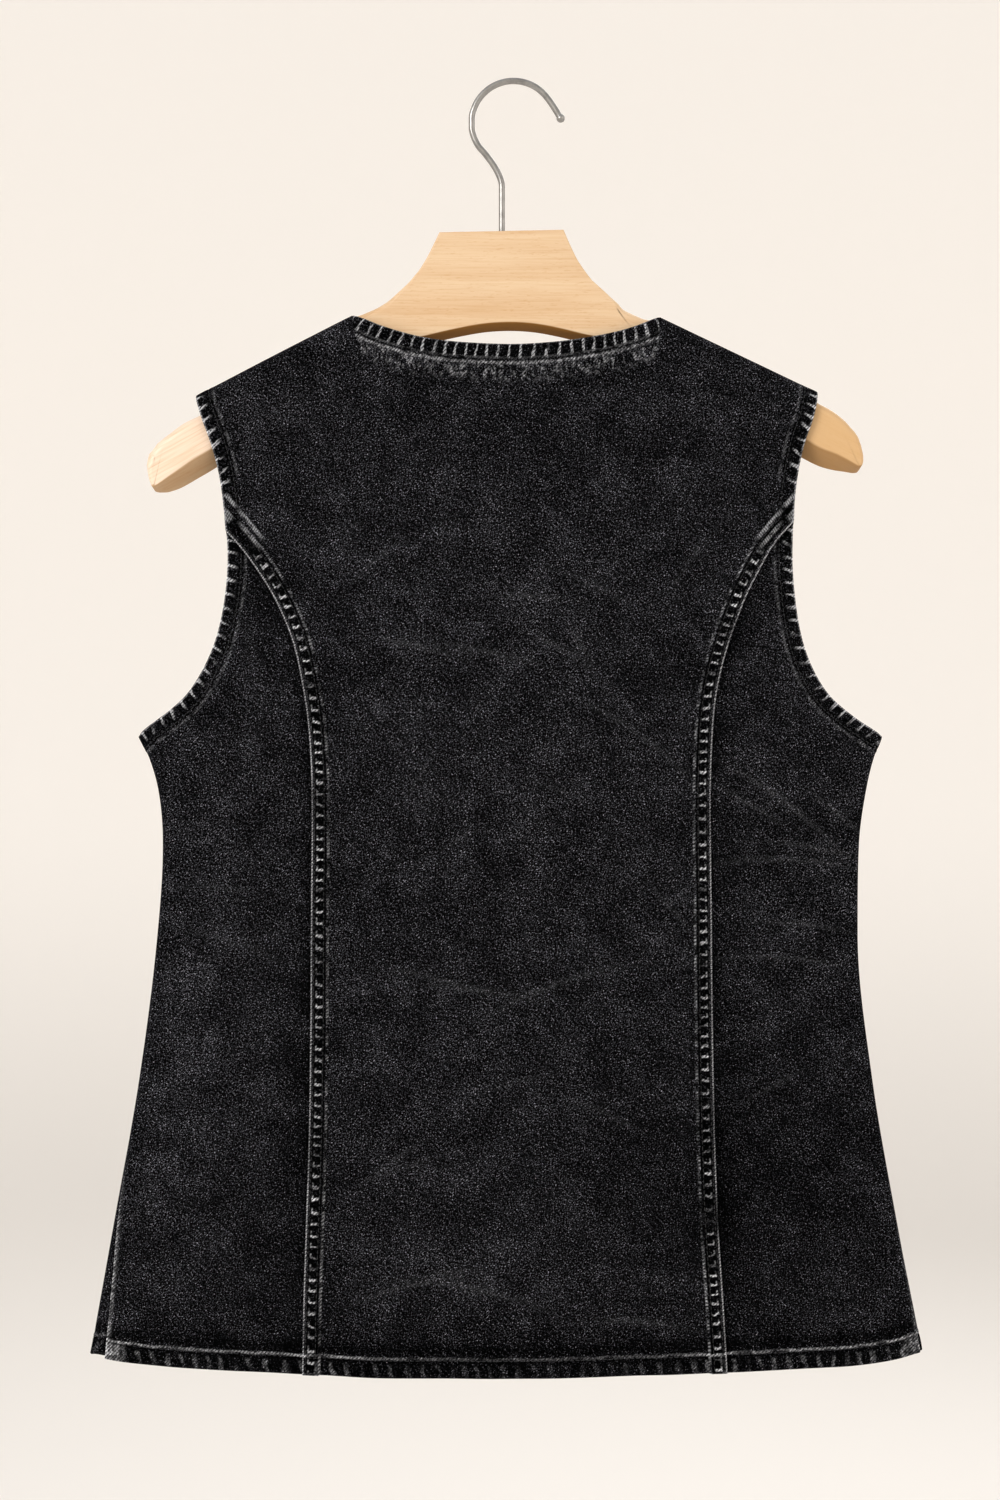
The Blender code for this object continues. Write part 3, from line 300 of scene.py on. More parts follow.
# Where the cloth is made lighter (above 0) and darker (below 0) in places.
BACK_PATCHES = (
    # across  height  radius across and up   amount
    (0.1660, -0.6863, 0.055, 0.055, -0.55),
    (0.1241, -0.7047, 0.015, 0.013, -1.00),
    (0.0850, -0.6650, 0.045, 0.050, -0.32),
    (-0.1550, -0.7300, 0.030, 0.065, -0.38),
    (-0.1990, -0.5850, 0.028, 0.105, 0.32),
    (-0.2150, -0.6350, 0.028, 0.045, 0.20),
    (0.0250, -0.3200, 0.036, 0.034, 0.28),
    (-0.0680, -0.2740, 0.035, 0.030, 0.16),
    (-0.0300, -0.5100, 0.070, 0.035, -0.16),
    (0.0100, -0.4370, 0.090, 0.045, 0.14),
    (0.0950, -0.3780, 0.025, 0.050, -0.18),
    (0.1750, -0.4600, 0.045, 0.030, -0.20),
    (0.0200, -0.1950, 0.080, 0.022, -0.12),
    (-0.1650, -0.2150, 0.030, 0.025, 0.14),
    (-0.0400, -0.7400, 0.100, 0.030, 0.10),
    (0.0000, -0.2280, 0.095, 0.034, -0.22),
    (0.1500, -0.6700, 0.080, 0.090, -0.30),
    (-0.1300, -0.6500, 0.030, 0.120, -0.16),
    (0.0000, -0.7780, 0.150, 0.022, -0.32),
)
FRONT_PATCHES = (
    (0.1500, -0.6900, 0.050, 0.060, -0.40),
    (-0.1500, -0.7200, 0.040, 0.060, -0.35),
    (-0.1900, -0.5700, 0.030, 0.100, 0.28),
    (0.1900, -0.5900, 0.030, 0.090, 0.24),
    (0.0900, -0.4500, 0.050, 0.060, 0.18),
    (-0.0900, -0.4200, 0.050, 0.070, 0.18),
    (-0.0800, -0.5800, 0.060, 0.050, -0.15),
    (0.0800, -0.2700, 0.030, 0.050, 0.12),
)
LAP_WEAR = (
    # height   left   right    how worn each princess lap is
    (-0.2750, 0.90, 0.90),
    (-0.3250, 1.00, 1.00),
    (-0.3380, 0.85, 0.35),
    (-0.3560, 0.90, 0.90),
    (-0.3900, 0.65, 0.75),
    (-0.4270, 1.20, 0.95),
    (-0.4440, 0.30, 0.60),
    (-0.4620, 0.55, 0.50),
    (-0.4880, 1.00, 1.00),
    (-0.5200, 0.80, 0.90),
    (-0.5420, 0.55, 0.95),
    (-0.5650, 0.85, 0.60),
    (-0.6050, 0.80, 0.95),
    (-0.6400, 0.75, 0.35),
    (-0.6560, 0.50, 0.45),
    (-0.6780, 0.60, 0.85),
    (-0.6950, 1.20, 0.25),
    (-0.7060, 0.85, 0.05),
    (-0.7240, 0.95, 0.95),
    (-0.7600, 0.85, 1.05),
    (-0.7780, 0.30, 0.60),
    (-0.7900, 0.90, 1.10),
)
HEM_WEAR = (
    # across   worn
    (-0.2620, 0.90), (-0.2400, 0.95), (-0.2250, 0.60), (-0.1900, 0.55), (-0.1500, 0.60), (-0.1260, 1.00),
    (-0.1150, 0.85), (-0.0950, 0.55), (-0.0500, 0.22), (0.0000, 0.16), (0.0500, 0.18), (0.0950, 0.30),
    (0.1180, 0.75), (0.1320, 1.10), (0.1450, 0.60), (0.1900, 0.60), (0.2300, 0.75), (0.2560, 1.00),
)

# The hanger.
ARM_THICK = 0.0124
SHARP, ROUND = 0.0011, 0.0050       # radius of its long edges: where the round column is 0, and where it is 1
REST = 0.00060
CROWN_RIGHT = (
    # across   height    round
    (0.0333, -0.0921, 0.00), (0.0378, -0.1024, 0.00), (0.0428, -0.1122, 0.00), (0.0512, -0.1237, 0.00),
    (0.0644, -0.1355, 0.25), (0.0818, -0.1466, 0.90),
)
CROWN_LEFT = (
    (-0.0439, -0.0937, 0.00), (-0.0482, -0.1026, 0.00), (-0.0522, -0.1104, 0.00), (-0.0570, -0.1180, 0.00),
    (-0.0620, -0.1239, 0.10), (-0.0676, -0.1292, 0.25),
    (-0.0809, -0.1394, 0.75), (-0.0912, -0.1440, 0.95),
)
SEAT = (0.102, 0.115, 0.130, 0.145)
ARM_END_RIGHT = (
    # across   height   round  lift: how much higher the edge on the back's side is
    (0.1780, -0.1915, 1.00, 0.0000), (0.1930, -0.2000, 1.00, 0.0000), (0.2010, -0.2044, 1.00, 0.0000),
    (0.2094, -0.2112, 1.00, 0.0000), (0.2150, -0.2178, 0.90, 0.0000), (0.2186, -0.2262, 0.65, 0.0005),
)
ARM_UNDER_RIGHT = (
    (0.2198, -0.2340, 0.35, 0.0008), (0.2188, -0.2400, 0.15, 0.0015), (0.2142, -0.2425, 0.02, 0.0044),
    (0.2083, -0.2416, 0.00, 0.0070), (0.2024, -0.2408, 0.00, 0.0093), (0.1936, -0.2384, 0.00, 0.0103),
    (0.1828, -0.2331, 0.00, 0.0113), (0.1400, -0.2080, 0.00, 0.0085),
    (0.1000, -0.1850, 0.00, 0.0070), (0.0700, -0.1670, 0.00, 0.0045),
)
ARCH = (
    (0.0466, -0.1611, 0.00, 0.0034), (0.0300, -0.1570, 0.00, 0.0033), (0.0150, -0.1543, 0.00, 0.0033),
    (0.0000, -0.1534, 0.00, 0.0033), (-0.0150, -0.1542, 0.00, 0.0033), (-0.0320, -0.1571, 0.00, 0.0033),
    (-0.0520, -0.1618, 0.00, 0.0034),
)
ARM_UNDER_LEFT = (
    (-0.0750, -0.1680, 0.00, 0.0045), (-0.1100, -0.1890, 0.00, 0.0070), (-0.1450, -0.2110, 0.00, 0.0085),
    (-0.1830, -0.2387, 0.00, 0.0119), (-0.1947, -0.2457, 0.00, 0.0122), (-0.2074, -0.2526, 0.00, 0.0103),
    (-0.2150, -0.2547, 0.00, 0.0068), (-0.2204, -0.2545, 0.05, 0.0029), (-0.2238, -0.2500, 0.25, 0.0010),
)
ARM_END_LEFT = (
    (-0.2262, -0.2392, 0.65, 0.0010), (-0.2252, -0.2322, 0.90, 0.0000), (-0.2198, -0.2248, 1.00, 0.0000),
    (-0.2110, -0.2178, 1.00, 0.0000), (-0.2030, -0.2120, 1.00, 0.0000), (-0.1925, -0.2068, 1.00, 0.0000),
    (-0.1780, -0.1975, 1.00, 0.0000),
)
WIRE = 0.0020
BALL = 0.0027
LOOP_CENTRE = (0.0022, -0.0243)
LOOP_RADIUS = 0.0262
LOOP_FROM = 37.0
LOOP_TO = 228.0
HOOK_END = (0.0331, -0.0237)
STEM = -0.0050
STEM_TOP = -0.0640
STEM_BEND = (-0.0072, -0.0562)
STEM_FOOT = -0.1100
WIRE_SIDES = 28

# A button, from the middle of its head out to its rim and back to its shank: radius, height above the cloth.
BUTTON_PROFILE = (
    (0.0002, 0.0036), (0.0030, 0.0035), (0.0046, 0.0033), (0.0056, 0.0033), (0.0064, 0.0037),
    (0.0074, 0.0037), (0.0082, 0.0033), (0.0086, 0.0026), (0.0085, 0.0021), (0.0080, 0.0017),
    (0.0060, 0.0016), (0.0032, 0.0015), (0.0029, 0.0010), (0.0029, 0.0003),
)
BUTTON_SIDES = 48
BUTTONHOLE = (-0.0030, 0.0165)  # its first and last bars, across
BUTTONHOLE_BARS = 34            # along each of its edges

# The photograph's camera: straight ahead, with the frame's height at the hook's plane.
CAMERA_PLACE = (-0.00624, -1.4000, -0.4156)
FRAME_HEIGHT = 0.936
SENSOR = 36.0

# The studio.
AIM = (0.0, 0.0, -0.42)         # what the lamps point at
LAMPS = (
    # name      place             size  share of the key light's power
    ("key", (-1.9, -2.3, 0.9), 1.3, 1.0),
    ("fill", (2.4, -1.6, 0.2), 2.4, 0.22),
    ("far_side", (0.8, 2.6, 1.2), 2.2, 0.75),
)
SKY_COLOUR = (1.0, 0.985, 0.97, 1.0)
FLOOR_RADII = (0.01, 1.0, 2.5, 4.0)
BEND_FROM = 4.6                 # where the floor starts to curve up
BEND_RADIUS = 2.6
WALL_TOP = 6.2
BACKDROP_SIDES = 96


# Settings that a user would change.

class ClothSettings(PropertyGroup):
    """The denim's colours and how strongly it is washed, worn and creased."""
    tint: FloatVectorProperty(
        name="Tint", description="The black dye's cast, as factors of the cloth's own grey",
        subtype='COLOR', size=3, min=0.0, soft_max=2.0, default=(1.0, 0.99, 1.14))
    grey: FloatProperty(
        name="Grey", description="The cloth's middle grey, before its flecks", default=0.0027,
        min=0.0, max=1.0)
    worn: FloatVectorProperty(
        name="Worn threads", description="Colour of the bare threads where a ridge has been rubbed",
        subtype='COLOR', size=3, min=0.0, max=1.0, default=(0.40, 0.405, 0.425))
    fleck: FloatProperty(
        name="Flecks", description="How far the flecks stand from the middle grey", default=21.0, min=0.0)
    clouds: FloatProperty(
        name="Clouds", description="How far the wash's clouds stand from the middle grey", default=3.3,
        min=0.0)
    crease: FloatProperty(
        name="Creases", description="Depth of the creases, as a share of the photograph's", default=1.0,
        min=0.0)
    weave: FloatProperty(
        name="Weave", description="Width of one twill line", default=0.0011, unit='LENGTH', min=0.0001)


class ThreadSettings(PropertyGroup):
    """The topstitching."""
    pitch: FloatProperty(
        name="Pitch", description="From one stitch to the next", default=0.0034, unit='LENGTH', min=0.0005)
    radius: FloatProperty(
        name="Radius", description="Of the thread", default=0.00024, unit='LENGTH', min=0.00005)
    colour: FloatVectorProperty(
        name="Colour", description="The thread's dye", subtype='COLOR', size=3, min=0.0, max=1.0,
        default=(0.010, 0.010, 0.011))


class HangerSettings(PropertyGroup):
    """The hanger's wood and the hook's steel."""
    light_wood: FloatVectorProperty(
        name="Light wood", description="Between the grain lines", subtype='COLOR', size=3, min=0.0, max=1.0,
        default=(0.77, 0.565, 0.36))
    dark_wood: FloatVectorProperty(
        name="Dark wood", description="On the grain lines", subtype='COLOR', size=3, min=0.0, max=1.0,
        default=(0.62, 0.37, 0.18))
    steel: FloatVectorProperty(
        name="Steel", description="Colour of the hook", subtype='COLOR', size=3, min=0.0, max=1.0,
        default=(0.36, 0.35, 0.335))
    gloss: FloatProperty(
        name="Steel roughness", description="0 is a mirror", default=0.30, min=0.0, max=1.0)


class StageSettings(PropertyGroup):
    """The floor, the backdrop and the lights."""
    backdrop: FloatVectorProperty(
        name="Backdrop", description="Colour of the floor and the wall", subtype='COLOR', size=3, min=0.0,
        max=1.0, default=(0.93, 0.90, 0.865))
    key: FloatProperty(
        name="Key light", description="From the upper left", default=46.0, unit='POWER', min=0.0)
    sky: FloatProperty(
        name="Sky", description="Strength of the even light all round", default=0.74, min=0.0)
    glow: FloatProperty(
        name="Backdrop light", description="Light that the wall gives of its own", default=0.16, min=0.0)
    floor: FloatProperty(
        name="Floor", description="Height of the floor", default=-1.65, unit='LENGTH')


# Curves through tables.

def smooth(places, values, at):
    """The smooth curve through (places, values), by cubic Hermite spans with slopes that never overshoot."""
    order = np.argsort(places)
    x = np.asarray(places, dtype=float)[order]
    y = np.asarray(values, dtype=float)[order]
    chord = np.diff(y) / np.diff(x)
    slope = np.concatenate(([chord[0]], 0.5 * (chord[1:] + chord[:-1]), [chord[-1]]))
    limit = 3.0 * np.minimum(np.abs(chord[1:]), np.abs(chord[:-1])) * (chord[1:] * chord[:-1] > 0)
    slope[1:-1] = np.clip(slope[1:-1], -limit, limit)
    at = np.clip(at, x[0], x[-1])
    span = np.clip(np.searchsorted(x, at) - 1, 0, len(x) - 2)
    width = x[span + 1] - x[span]
    t = (at - x[span]) / width
    rise = y[span] * (1 + 2 * t) * (1 - t) ** 2 + y[span + 1] * t * t * (3 - 2 * t)
    return rise + width * (slope[span] * t * (1 - t) ** 2 - slope[span + 1] * t * t * (1 - t))


def through(table, at, number=1):
    """The smooth curve through a table's column of this number, over its first column."""
    places, values = np.array([(row[0], row[number]) for row in table], dtype=float).T
    return smooth(places, values, at)


def ramp(value, start, end):
    """0 at start, 1 at end and a smooth step between them."""
    t = np.clip((value - start) / (end - start), 0.0, 1.0)
    return t * t * (3.0 - 2.0 * t)


def lengths(points):
    """The length along a run of points, up to each of them."""
    return np.concatenate(([0.0], np.cumsum(np.linalg.norm(np.diff(points, axis=0), axis=1))))


def dense(points, steps=8):
    """A finer line through the points, smooth along its own length."""
    points = np.asarray(points, dtype=float)
    length = lengths(points)
    at = np.interp(np.arange(steps * (len(points) - 1) + 1) / steps, np.arange(len(points)), length)
    return np.stack([smooth(length, points[:, axis], at) for axis in range(points.shape[1])], axis=1)


# The form that the cloth lies on.

def half_width(across, height):
    """From the centre to the outermost line of the side that the place across is on."""
    return np.where(np.asarray(across) >= 0, through(BODY, height, 2), -through(BODY, height, 1))


def lens(across, height, face):
    """How far the lens stands out from the middle plane: deep at the centre, FOLD at its two edges."""
    depth = through(BODY, height, 3 if face < 0 else 4)
    flat = half_width(across, height) - FOLD
    share = np.clip(np.abs(across) / flat, 0.0, 1.0)
    return FOLD + (depth - FOLD) * (1.0 - share ** 2) ** LENS_POWER


def top_line(across):
    """The height of the shoulders' top, above each place across."""
    return through(TOP_LINE, across)


def form(across, up, face):
    """The point of the form at the pattern's (across, up): a lens seen from above, which turns a half round
    of radius FOLD at each side and rolls over the shoulders on a radius of ROLL."""
    sign = np.where(across >= 0, 1.0, -1.0)
    flat = half_width(across, up) - FOLD
    past = np.abs(across) - flat
    beyond = np.maximum(past - pi * FOLD, 0.0)
    turn = np.clip(past / FOLD, 0.0, pi)
    x = sign * np.where(past > 0, flat + FOLD * np.sin(turn) - beyond, np.abs(across))
    top = top_line(x)
    rolled = np.clip((up - top + ROLL) / ROLL, 0.0, pi / 2)
    z = np.where(rolled > 0, top - ROLL + ROLL * np.sin(rolled), up)
    settled = ramp(top - ROLL - up, 0.0, SETTLE)
    near = ROLL + (lens(x, z, face) - ROLL) * settled
    far = lens(x, z, -face)
    y = np.where(past > 0, FOLD * np.cos(turn), near * np.cos(rolled))
    y = np.where(beyond > 0, -far, y)
    return np.stack([x, face * y, z], axis=-1)


def normal(across, up, face):
    """The form's outward normal, from points a fifth of a millimetre to each side."""
    small = 0.0002
    along = form(across + small, up, face) - form(across - small, up, face)
    above = form(across, up + small, face) - form(across, up - small, face)
    out = np.cross(along, above) * (-face)
    return out / np.linalg.norm(out, axis=-1, keepdims=True)


def pattern_up(across, height):
    """The pattern's up coordinate of a point at this height, which is further along where the cloth rolls."""
    top = top_line(across)
    drop = np.clip((top - height) / ROLL, 0.0, 1.0)
    return np.where(drop < 1.0, top - ROLL + ROLL * (pi / 2 - np.arccos(1.0 - drop)), height)


def shoulder(across):
    """The shoulder seam in the pattern: the top of the roll, half a seam gap short of it."""
    return top_line(across) + ROLL * (pi / 2 - 1.0) - SEAM_GAP / 2


def side_edge(side, height, face):
    """The side seam in the pattern, across: the fold's outermost line, moved where the front wraps round."""
    sign = SIGNS[side]
    shift = through(SEAM_SHIFT, height, 1 + side)
    reach = half_width(sign, height) - FOLD + FOLD * pi / 2 + face * shift - SEAM_GAP / 2
    return sign * reach


# Panel outlines in the pattern, each as a run of points.

def armhole_run(side, face, start, end):
    """The armhole from one height down to another; a front's is cut deeper than the back's."""
    sign = SIGNS[side]
    table = [(TIPS[side], float(top_line(TIPS[side])))]
    table += [(row[1 + side], row[0]) for row in ARMHOLE]
    table += [(half_width(sign, UNDERARM) * sign, UNDERARM)]
    run = dense(table)
    if face > 0:
        share = np.clip((run[:, 1] - UNDERARM) / (run[0, 1] - UNDERARM), 0.0, 1.0)
        run[:, 0] -= sign * FRONT_ARMHOLE_IN * np.sin(pi * share)
    run[:, 1] = pattern_up(run[:, 0], run[:, 1])
    run[0] = (TIPS[side], shoulder(TIPS[side]))
    run[-1] = (side_edge(side, UNDERARM, face), UNDERARM)
    inside = (run[:, 1] < start) & (run[:, 1] > end)
    ends = [np.interp(-level, -run[:, 1], run[:, 0]) for level in (start, end)]
    return np.concatenate(([(ends[0], start)], run[inside], [(ends[1], end)]))


def princess_run(side, inward):
    """The princess seam from the armhole to the hem; inward(length) moves it towards the centre."""
    sign = SIGNS[side]
    first = armhole_run(side, BACK, 0.0, JUNCTIONS[side])[-1]
    run = dense([tuple(first)] + [(row[1 + side], row[0]) for row in PRINCESS])
    along = np.gradient(run, axis=0)
    along /= np.linalg.norm(along, axis=1, keepdims=True)
    across = np.stack([sign * along[:, 1], -sign * along[:, 0]], axis=1)
    return cut_at_hem(run + across * inward(lengths(run))[:, None])


def hem_line(across):
    """The height of the hem, at each place across."""
    return through(HEM, across)


def cut_at_hem(run):
    """The run, ended where it meets the hem."""
    over = run[:, 1] - hem_line(run[:, 0])
    last = int(np.argmax(over < 0))
    share = over[last - 1] / (over[last - 1] - over[last])
    end = run[last - 1] + (run[last] - run[last - 1]) * share
    return np.concatenate((run[:last], [end]))


def hem_run(start, end):
    """The hem from one place across to another."""
    across = np.linspace(start, end, 60)
    return np.stack([across, hem_line(np.clip(across, HEM[0][0], HEM[-1][0]))], axis=1)


def side_run(side, face):
    """The side seam from the underarm down to the hem."""
    sign = SIGNS[side]
    foot = float(hem_line(sign * half_width(sign, HEM[0][1])))
    height = np.linspace(UNDERARM, foot, 60)
    return np.stack([side_edge(side, height, face), height], axis=1)


def shoulder_run(start, end):
    """The shoulder seam from one place across to another."""
    across = np.linspace(start, end, 30)
    return np.stack([across, shoulder(across)], axis=1)


def back_neck_run():
    """The back's neck edge from the left shoulder point to the right one."""
    ends = [(x, float(top_line(x))) for x in NECK_POINTS]
    run = dense([ends[0]] + list(BACK_NECK) + [ends[1]])
    run[:, 1] = pattern_up(run[:, 0], run[:, 1])
    run[0, 1] = shoulder(run[0, 0])
    run[-1, 1] = shoulder(run[-1, 0])
    return run


def front_neck_run(side):
    """The front's neck edge, a bowed curve from the shoulder down to the closure, which passes the centre."""
    sign = SIGNS[side]
    start = np.array([NECK_POINTS[side], top_line(NECK_POINTS[side])])
    bow = np.array([sign * FRONT_NECK_BOW[0], FRONT_NECK_BOW[1]])
    end = np.array([-sign * CLOSURE, FRONT_NECK_DROP])
    t = np.linspace(0.0, 1.0, 50)[:, None]
    run = start * (1 - t) ** 2 + bow * 2 * t * (1 - t) + end * t * t
    run[:, 1] = pattern_up(run[:, 0], run[:, 1])
    run[0, 1] = shoulder(run[0, 0])
    return run


class Outline:
    """One edge of a panel: runs of points end to end, each spread over its own share of 0 to 1."""

    def __init__(self, runs, shares):
        self.runs = runs
        self.shares = shares
        self.reach = np.concatenate(([0.0], np.cumsum([lengths(run)[-1] for run in runs])))

    def at(self, share):
        """The point at each share."""
        share = np.asarray(share, dtype=float)
        out = np.zeros(share.shape + (2,))
        for run, start, end in zip(self.runs, self.shares[:-1], self.shares[1:]):
            length = lengths(run)
            within = (share >= start) & (share <= end)
            place = (share[within] - start) / (end - start) * length[-1]
            for axis in (0, 1):
                out[within, axis] = np.interp(place, length, run[:, axis])
        return out

    def direction(self, share):
        """The way that the edge runs at each share, from points a little to both sides."""
        ahead = self.at(np.clip(share + 0.002, 0, 1)) - self.at(np.clip(share - 0.002, 0, 1))
        return ahead / np.linalg.norm(ahead, axis=-1, keepdims=True)

    def along(self, share):
        """The length along the edge at each share."""
        return np.interp(share, self.shares, self.reach)


def crossing(one, other, share):
    """The distance between two edges at each share, as measured square to the one and to the other."""
    across = other.at(share) - one.at(share)
    width = np.linalg.norm(across, axis=-1)
    across = across / width[:, None]
    squares = []
    for edge in (one, other):
        way = edge.direction(share)
        slant = np.abs(across[:, 0] * way[:, 1] - across[:, 1] * way[:, 0])
        squares.append(width * np.clip(slant, LEAST_SQUARE, 1.0))
    return squares


def spread(near, breaks, counts, far, squares):
    """Where each line lies, as a share: set distances in from both edges, and even steps between breaks."""
    first = np.array(near)[None, :] / squares[0][:, None]
    last = 1.0 - np.array(far[::-1])[None, :] / squares[1][:, None]
    stops = [first[:, -1]] + [np.full(len(first), stop) for stop in breaks] + [last[:, 0]]
    parts = [first]
    for start, end, count in zip(stops[:-1], stops[1:], counts):
        steps = np.arange(1, count + 1) / count
        parts.append(start[:, None] + (end - start)[:, None] * steps[None, :])
    parts[-1] = parts[-1][:, :-1]
    return np.concatenate(parts + [last], axis=1)


def patch(left, right, top, bottom, u, v):
    """The surface between four outlines (Coons): their two rulings added, less the one of their corners."""
    wide = u[..., None]
    deep = v[..., None]
    sides = left.at(v) * (1 - wide) + right.at(v) * wide
    ends = top.at(u) * (1 - deep) + bottom.at(u) * deep
    corners = (top.at(np.array(0.0)) * (1 - wide) + top.at(np.array(1.0)) * wide) * (1 - deep)
    corners = corners + (bottom.at(np.array(0.0)) * (1 - wide) + bottom.at(np.array(1.0)) * wide) * deep
    return sides + ends - corners


# The cloth's relief.

def dent(distance, centre, half):
    """1 at the centre and 0 from half on, with no corner at either."""
    return np.clip(1.0 - ((distance - centre) / half) ** 2, 0.0, 1.0) ** 2


def puckers(along, period, seed):
    """A count that grows by 1 from pucker to pucker: the length over the period, and two slow waves."""
    return along / period + 0.28 * np.sin(along / 0.031 + seed) + 0.17 * np.sin(along / 0.0127 + 2.1 * seed)


def ridge(count):
    """1 on each whole count and 0 midway."""
    return 0.5 + 0.5 * np.cos(tau * count)


def edge_roll(distance, thickness):
    """How far each face falls away at a folded edge: a quarter circle on nearly half the thickness."""
    radius = FOLD_ROUND * thickness
    near = np.clip(1.0 - distance / radius, 0.0, 1.0)
    return radius * (1.0 - np.sqrt(1.0 - near ** 2))


def creases(across, up, table):
    """The creases' height and wear: each is a Gaussian ridge or trough, long one way and narrow the other,
    bowed a little along its length."""
    height = np.zeros_like(across)
    worn = np.zeros_like(across)
    for x, z, degrees, length, width, depth, rubbed in table:
        turn = radians(degrees)
        along = (across - x) * cos(turn) + (up - z) * sin(turn)
        beside = (up - z) * cos(turn) - (across - x) * sin(turn) + along ** 2 * 2.2
        shape = np.exp(-(along / length) ** 2 - (beside / width) ** 2)
        height += depth * shape
        worn += rubbed * np.exp(-(along / length) ** 2 - (beside / (0.35 * width)) ** 2)
    return height, worn


def drape(across, up):
    """The slow unevenness of hanging cloth: four crossed waves, none a multiple of another."""
    return (0.00032 * np.sin(across / 0.0171 + 1.3 * np.sin(up / 0.043))
            + 0.00028 * np.sin(across / 0.0093 - up / 0.037 + 0.7)
            + 0.00024 * np.sin(up / 0.0147 + across / 0.051 + 2.0)
            + 0.00016 * np.sin(across / 0.0061 + up / 0.0083))


def wash(across, up, table):
    """The table's lighter and darker places, each a Gaussian."""
    total = np.zeros_like(across)
    for x, z, wide, high, amount in table:
        total += amount * np.exp(-((across - x) / wide) ** 2 - ((up - z) / high) ** 2)
    return total


class Cloth:
    """A panel: its grid of points in the pattern, each point's distance in from the four edges and its length
    along them, and the relief and wear that are added to it."""

    def __init__(self, face, left, right, top, bottom, columns, rows, crease):
        nominal_u, nominal_v = (spread(*lines, (np.array([size]), np.array([size])))[0]
                                for lines, size in zip((columns, rows), NOMINAL))
        self.face = face
        wide = crossing(left, right, nominal_v)
        high = crossing(top, bottom, nominal_u)
        self.u = spread(*columns, wide)
        self.v = spread(*rows, high).T
        pattern = patch(left, right, top, bottom, self.u, self.v)
        self.across = pattern[..., 0]
        self.up = pattern[..., 1]
        self.left_in, self.left_along = self.measure(left, self.v, self.u * wide[0][:, None])
        self.right_in, self.right_along = self.measure(right, self.v, (1.0 - self.u) * wide[1][:, None])
        self.top_in, self.top_along = self.measure(top, self.u, self.v * high[0][None, :])
        self.bottom_in, self.bottom_along = self.measure(bottom, self.u, (1.0 - self.v) * high[1][None, :])
        blank = np.zeros_like(self.across)
        self.rise = blank.copy()
        self.out = blank.copy()
        self.turned = blank.copy()
        for kind in MARKS:
            setattr(self, kind, np.stack([blank + 1.0, blank, blank], axis=-1))
        table, patches = (BACK_CREASES, BACK_PATCHES) if face < 0 else (FRONT_CREASES, FRONT_PATCHES)
        calm = ramp(half_width(self.across, self.up) - np.abs(self.across), 0.002, 0.030)
        calm = calm * ramp(top_line(self.across) - self.up, 0.030, 0.080)
        folds, self.worn = creases(self.across, self.up, table)
        self.folds = (folds * crease + drape(self.across, self.up)) * calm
        self.shade = wash(self.across, self.up, patches)

    def measure(self, edge, share, about):
        """Each point's distance from an edge and the length along it to the nearest place, exact where the
        distance is less than NEAR_EDGE: the smallest distance to any of the edge's straight pieces."""
        run = np.concatenate(edge.runs)
        way = np.diff(run, axis=0)
        size = np.maximum((way ** 2).sum(axis=1), 1e-18)
        close = about < NEAR_EDGE
        points = np.stack([self.across[close], self.up[close]], axis=-1)[:, None, :]
        part = np.clip(((points - run[:-1]) * way).sum(axis=-1) / size, 0.0, 1.0)
        gap = np.linalg.norm(points - run[:-1] - part[..., None] * way, axis=-1)
        best = np.argmin(gap, axis=1)
        each = np.arange(len(best))
        distance = about.copy()
        length = edge.along(share)
        distance[close] = gap[each, best]
        length[close] = lengths(run)[best] + part[each, best] * np.sqrt(size[best])
        return distance, length

    def stitch_band(self, inside, along, width, rows, period, seed, where, swell, kind, strength):
        """A turned and stitched edge: it stands out, dips at each row of stitches and puckers between them,
        as high as the swell.  Where it lies nearest, the material reads it under the name of its kind."""
        count = puckers(along, period, seed)
        held = ramp(inside, width + STEP, width) * where
        self.out += TURN_OUT * held
        self.turned = np.maximum(self.turned, held)
        for place in rows:
            self.out -= STITCH_DIP * dent(inside, place, STITCH_PULL) * where
        self.out += swell * (ridge(count) - 0.45) * dent(inside, 0.5 * width, 0.66 * width) * where
        self.out += 0.6 * swell * (ridge(count) - 0.5) * dent(inside, width, 0.012) * (inside > width) * where
        mark = getattr(self, kind)
        nearer = inside < mark[..., 0]
        for number, value in enumerate((inside, count, strength * where)):
            mark[..., number] = np.where(nearer, value, mark[..., number])

    def turn_band(self, inside, along, period, seed, where, swell, kind="band", strength=1.0):
        """The turned edge of a neck, an armhole or a closure, with its one row of stitches."""
        self.stitch_band(inside, along, TURN, (BAND_STITCH,), period, seed, where, swell, kind, strength)

    def turn_hem(self, seed, where, swell, strength):
        """The turned hem, and the darkening above it: partly dye that its fold has kept, partly painted
        shade.
        """
        self.stitch_band(self.bottom_in, self.across, HEM_TURN, (HEM_STITCH,), HEM_PERIOD, seed, where,
                         swell, "hem", strength)
        self.shade = self.shade + above_hem(self.bottom_in)

    def edge_in(self):
        """The distance in from the nearest edge."""
        return np.minimum(np.minimum(self.left_in, self.right_in), np.minimum(self.top_in, self.bottom_in))

    def faces(self):
        """The points of the outer and the inner face: the form, moved along its normal."""
        place = form(self.across, self.up, self.face)
        out = normal(self.across, self.up, self.face)
        low = -WALL - TURN_IN * self.turned * (self.rise < 0.2 * LAP_RISE)
        roll = edge_roll(self.edge_in(), self.out - low)
        outer = place + out * (self.rise + self.folds + self.out - roll)[..., None]
        inner = place + out * (self.rise + self.folds + low + roll)[..., None]
        return outer, inner, out

